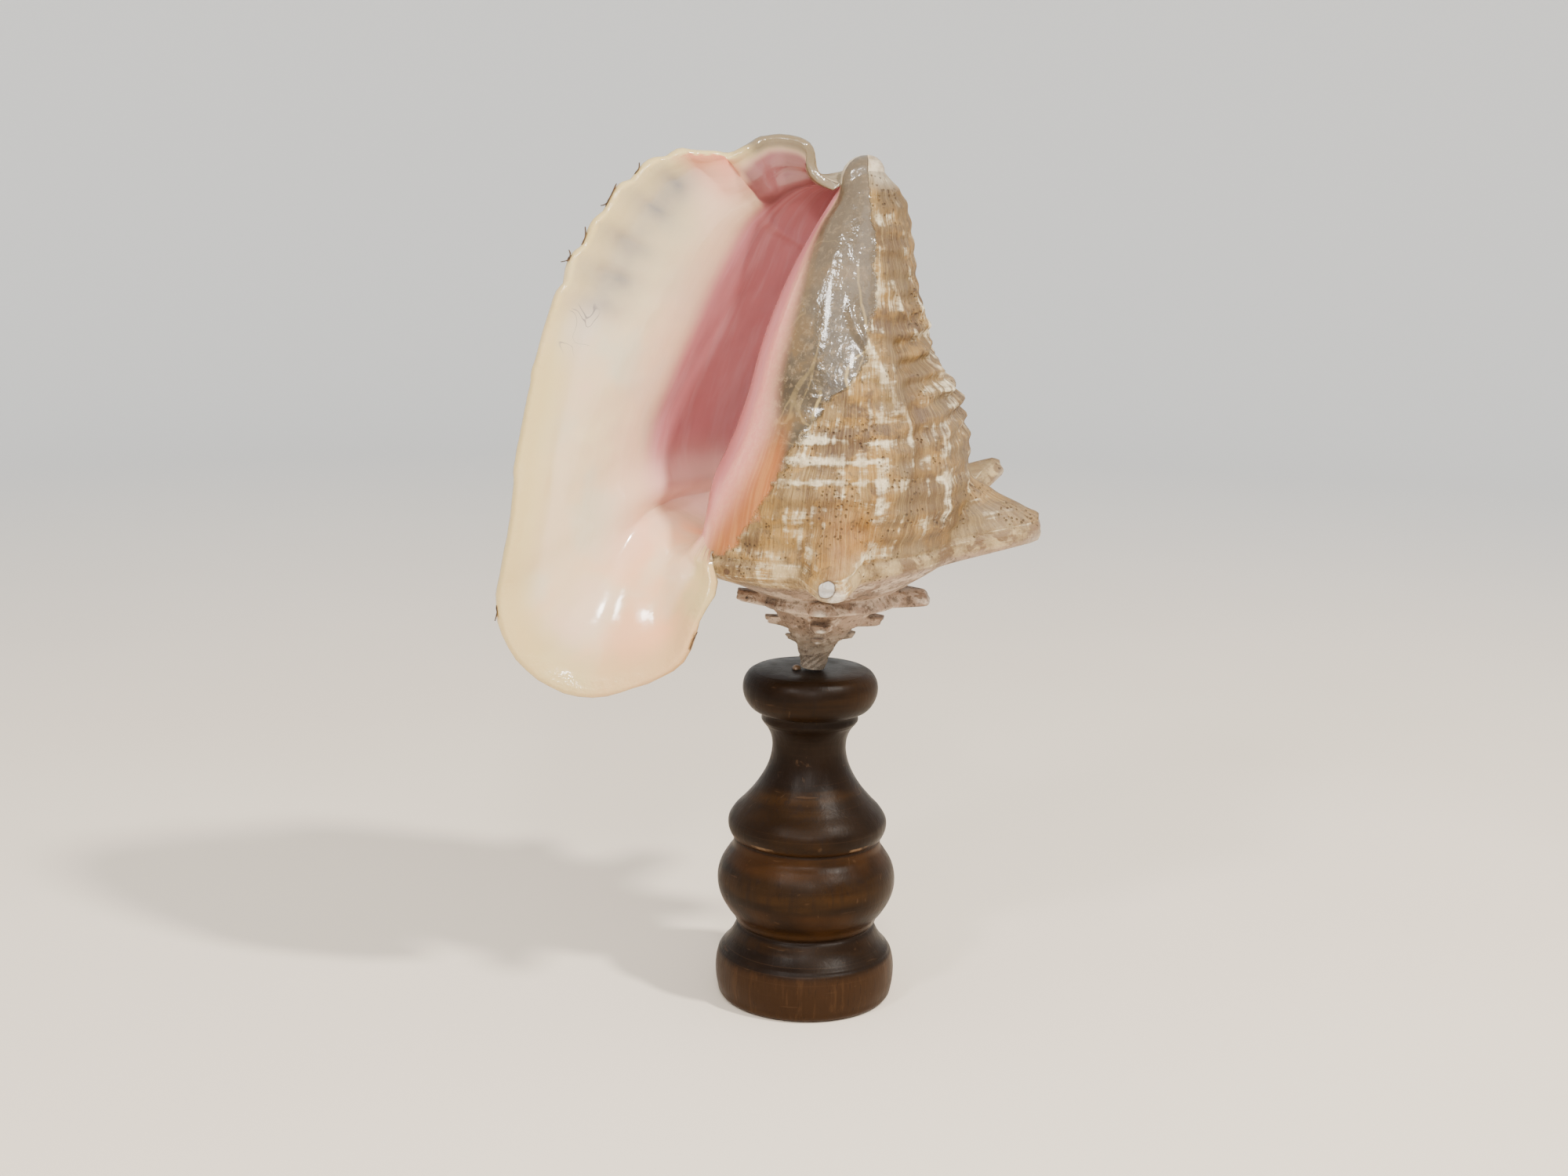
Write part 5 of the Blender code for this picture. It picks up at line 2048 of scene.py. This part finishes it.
@dataclass(frozen=True)
class WalnutFinish:
    """Dark stained wood with a satin wax, worn along its edges."""

    dark: Colour = (0.0075, 0.0036, 0.0016)
    warm: Colour = (0.030, 0.0130, 0.0032)
    umber: Colour = (0.016, 0.0082, 0.0036)
    grain: Colour = (0.012, 0.0065, 0.004)
    foot: Colour = (0.040, 0.0175, 0.0064)
    foot_tick: Colour = (0.060, 0.028, 0.011)
    tick: Colour = (0.010, 0.006, 0.004)
    glow: Colour = (0.037, 0.0142, 0.0032)
    scratch: Colour = (0.095, 0.050, 0.023)
    bright_edge: Colour = (0.16, 0.095, 0.050)
    groove: Colour = (0.009, 0.005, 0.003)
    tool_line: Colour = (0.050, 0.026, 0.012)
    glow_bands: Pairs = ((0.036, 0.047), (0.0655, 0.0725))
    groove_lines: Pairs = (
        (0.0219, 0.0010), (0.0336, 0.0026), (0.0730, 0.0012), (0.1302, 0.0012),
    )

    def material(self, groups: Groups) -> bpy.types.Material:
        """The stand's material.

        Args:
            groups: the shared effects by name.

        Returns:
            The material.
        """
        made, sheet, shader, place = new_material("dark_turned_walnut")
        _, _, z = place.apart()
        grain = sheet.noise(place.stretched(330.0, 330.0, 20.0), 1.0, 5.0, 0.62, 0.35)
        ticks = sheet.noise(place.stretched(900.0, 900.0, 60.0), 1.0, 3.0, 0.6)
        bands = sheet.noise(place.stretched(9.0, 9.0, 62.0), 1.0, 3.0, 0.5, 0.4)
        cloud = sheet.noise(place, 30.0, 3.0, 0.5)
        colour = sheet.mix(bands.range(0.46, 0.66), self.dark, self.warm)
        colour = sheet.mix(cloud.range(0.45, 0.65, 0.0, 0.6), colour, self.umber)
        colour = sheet.mix(grain.range(0.5, 0.7, 0.0, 0.65), colour, self.grain)
        base = z.range(0.0225, 0.018)
        colour = sheet.mix(base * 0.6, colour, self.foot)
        pale_ticks = base * grain.range(0.47, 0.34, 0.0, 0.4)
        colour = sheet.mix(pale_ticks, colour, self.foot_tick)
        colour = sheet.mix(ticks.range(0.6, 0.72, 0.0, 0.6), colour, self.tick)
        for low, high in self.glow_bands:
            near = z.range(low - 0.004, low) * z.range(high + 0.004, high)
            glow = near * cloud.range(0.38, 0.6, 0.15, 0.75)
            colour = sheet.mix(glow, colour, self.glow)
        # Painted shade: the neck and cup under the shell are darkened above 100 mm.
        colour = sheet.mix(z.range(0.1, 0.11, 0.0, 0.5), colour, self.dark)
        colour = self.turned(sheet, colour, z, place)
        wear = sheet.effect(groups["wear"], Vector=place, Amount=0.24)
        colour = sheet.mix(wear["Mask"], colour, self.scratch)
        sheet.feed(shader.inputs["Base Color"], colour)
        mottle = sheet.effect(groups["mottle"], Vector=place, Scale=40.0)["Value"]
        sheet.feed(shader.inputs["Roughness"], mottle.range(0.3, 0.7, 0.3, 0.46))
        shader.inputs["Specular IOR Level"].default_value = 0.08
        height = grain * 0.8 + ticks * 0.4
        height = height - wear["Mask"] * 0.5
        sheet.feed(shader.inputs["Normal"], sheet.bump(height, 0.5, 0.0003))
        return made

    def turned(self, sheet: Sheet, colour: Field, z: Field,
               place: Field) -> Field:
        """Dark lines in the grooves and fine tool lines round the wood.

        Args:
            sheet: the material's sheet.
            colour: the colour so far.
            z: height.
            place: the piece's own coordinates.

        Returns:
            The new colour.
        """
        worn = abs(z - 0.0752)
        broken = sheet.noise(place, 70.0, 3.0, 0.6).range(0.5, 0.62)
        line = worn.range(0.0009, 0.0004, 0.0, 0.8) * broken
        colour = sheet.mix(line, colour, self.bright_edge)
        for at, wide in self.groove_lines:
            off = abs(z - at)
            colour = sheet.mix(off.range(wide, wide * 0.3, 0.0, 0.72), colour, self.groove)
        lines = sheet.noise(place.stretched(3.0, 3.0, 1500.0), 1.0, 2.0, 0.6)
        return sheet.mix(lines.range(0.6, 0.72, 0.0, 0.35), colour, self.tool_line)


@dataclass(frozen=True)
class GlueFinish:
    """Old brown glue."""

    dark: Colour = (0.05, 0.028, 0.015)
    light: Colour = (0.14, 0.08, 0.04)

    def material(self, groups: Groups) -> bpy.types.Material:
        """The bead's material.

        Args:
            groups: the shared effects by name.

        Returns:
            The material.
        """
        made, sheet, shader, place = new_material("old_brown_glue")
        mottle = sheet.effect(groups["mottle"], Vector=place, Scale=300.0)["Value"]
        colour = sheet.mix(mottle.range(0.35, 0.65), self.dark, self.light)
        sheet.feed(shader.inputs["Base Color"], colour)
        sheet.feed(shader.inputs["Roughness"], mottle.range(0.3, 0.7, 0.25, 0.5))
        sheet.feed(shader.inputs["Normal"], sheet.bump(mottle, 0.4, 0.0004))
        return made


# Studio

@dataclass(frozen=True)
class Studio:
    """Pale sweep, soft lights and the camera."""

    camera_at: Point = (-0.0123, -0.856, 0.3516)
    pitch: float = 11.05
    roll: float = 1.10
    focal_pixels: float = 2568.0
    image_width: float = 2000.0
    sensor_width: float = 36.0
    aim: Point = (-0.03, 0.0, 0.24)
    floor_radius: float = 1.9
    bend: float = 0.9
    bend_steps: int = 12
    wall: float = 0.5

    def camera(self) -> None:
        """Set the camera where the photograph was taken from."""
        data = bpy.data.cameras.new("camera")
        data.sensor_width = self.sensor_width
        data.lens = self.sensor_width * self.focal_pixels / self.image_width
        data.clip_start = 0.01
        made = bpy.data.objects.new("camera", data)
        p, r = math.radians(self.pitch), math.radians(self.roll)
        right = Vector((1.0, 0.0, 0.0))
        up = Vector((0.0, math.sin(p), math.cos(p)))
        ahead = Vector((0.0, math.cos(p), -math.sin(p)))
        x = right * math.cos(r) + up * math.sin(r)
        y = up * math.cos(r) - right * math.sin(r)
        cx, cy, cz = self.camera_at
        made.matrix_world = Matrix(((x.x, y.x, -ahead.x, cx), (x.y, y.y, -ahead.y, cy),
                                    (x.z, y.z, -ahead.z, cz), (0.0, 0.0, 0.0, 1.0)))
        bpy.context.scene.collection.objects.link(made)
        bpy.context.scene.camera = made

    def light(self, name: str, at: Point, size: float, power: float,
              colour: Colour, shine: float = 1.0) -> None:
        """One soft light aimed at the shell.

        Args:
            name: its name.
            at: where it hangs.
            size: its width in metres.
            power: its strength in watts.
            colour: its colour.
            shine: how much of it is seen in gloss.
        """
        data = bpy.data.lights.new(name, "AREA")
        data.shape = "DISK"
        data.size = size
        data.energy = power
        data.color = colour
        data.specular_factor = shine
        made = bpy.data.objects.new(name, data)
        made.location = at
        aim = Vector(self.aim) - Vector(at)
        made.rotation_euler = aim.to_track_quat("-Z", "Y").to_euler()
        bpy.context.scene.collection.objects.link(made)

    def sweep(self) -> None:
        """Pale round floor whose far edge curves up into a low wall."""
        deselect()
        bpy.ops.mesh.primitive_circle_add(vertices=96, radius=self.floor_radius,
                                          fill_type="TRIFAN", location=(0.0, 0.0, 0.0))
        floor = bpy.context.object
        floor.name = "pale_floor"
        enter(floor)
        select_open_edges()
        before = (self.floor_radius, 0.0)
        for k in range(1, self.bend_steps + 2):
            a = 0.5 * math.pi * min(k, self.bend_steps) / self.bend_steps
            rise = self.bend * (1.0 - math.cos(a)) + (self.wall if k > self.bend_steps else 0.0)
            after = (self.floor_radius + self.bend * math.sin(a), rise)
            raise_ring(before, after)
            before = after
        bpy.ops.mesh.select_all(action="SELECT")
        bpy.ops.mesh.normals_make_consistent(inside=True)
        bpy.ops.object.mode_set(mode="OBJECT")
        smooth(floor)
        made, sheet, shader, place = new_material("pale_floor")
        shade = sheet.noise(place, 3.0, 2.0).range(0.3, 0.7)
        colour = sheet.mix(shade, (0.88, 0.76, 0.62), (0.91, 0.79, 0.65))
        away = place.distance((0.0, 0.0, 0.0))
        colour = sheet.mix(away.range(0.35, 2.2), colour, (0.8, 0.8, 0.79))
        sheet.feed(shader.inputs["Base Color"], colour)
        shader.inputs["Roughness"].default_value = 0.85
        floor.data.materials.append(made)
        settle(floor)

    def build(self) -> None:
        """Place everything round the object."""
        self.sweep()
        self.camera()
        self.light("key", (1.05, -0.75, 1.65), 0.17, 52.0, (1.0, 0.955, 0.88))
        self.light("second", (-0.70, -1.05, 1.20), 0.22, 11.0, (1.0, 0.97, 0.93))
        self.light("mouth", (0.02, -1.22, 0.92), 0.16, 7.0, (1.0, 0.965, 0.92))
        self.light("front", (0.1, -2.2, 1.6), 2.2, 19.0, (1.0, 0.975, 0.95), 0.4)
        world = bpy.data.worlds.new("pale_room")
        world.use_nodes = True
        back = world.node_tree.nodes["Background"]
        back.inputs["Color"].default_value = (0.83, 0.845, 0.86, 1.0)
        back.inputs["Strength"].default_value = 0.95
        bpy.context.scene.world = world


def dress(piece: Piece, material: bpy.types.Material, node: str) -> None:
    """Give a piece its material and its place in the frame.

    Args:
        piece: the finished piece.
        material: its material.
        node: the solid that it replaces.
    """
    piece.data.materials.clear()
    piece.data.materials.append(material)
    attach(piece, "root")
    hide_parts(node)
    log.info("%s: %d faces", piece.name, len(piece.data.polygons))


def main() -> None:
    """Build and dress each piece in order."""
    logging.basicConfig(level=logging.INFO, format="%(name)s: %(message)s")
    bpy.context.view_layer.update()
    groups = {"pits": fine_pits_group(), "mottle": soft_mottle_group(), "wear": light_wear_group()}
    dress(TurnedStand().build(), WalnutFinish().material(groups), "turned_stand")
    dress(GlueBead().build(), GlueFinish().material(groups), "glue_bead")
    shell = ConchShell()
    finish = ShellFinish()
    dress(shell.build(), finish.material(groups), "conch_shell")
    flakes = DryFlakes(shell).build()
    flakes.data.materials.append(finish.dry_skin(groups))
    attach(flakes, "root")
    log.info("%s: %d faces", flakes.name, len(flakes.data.polygons))
    Studio().build()


if __name__ == "__main__":
    main()
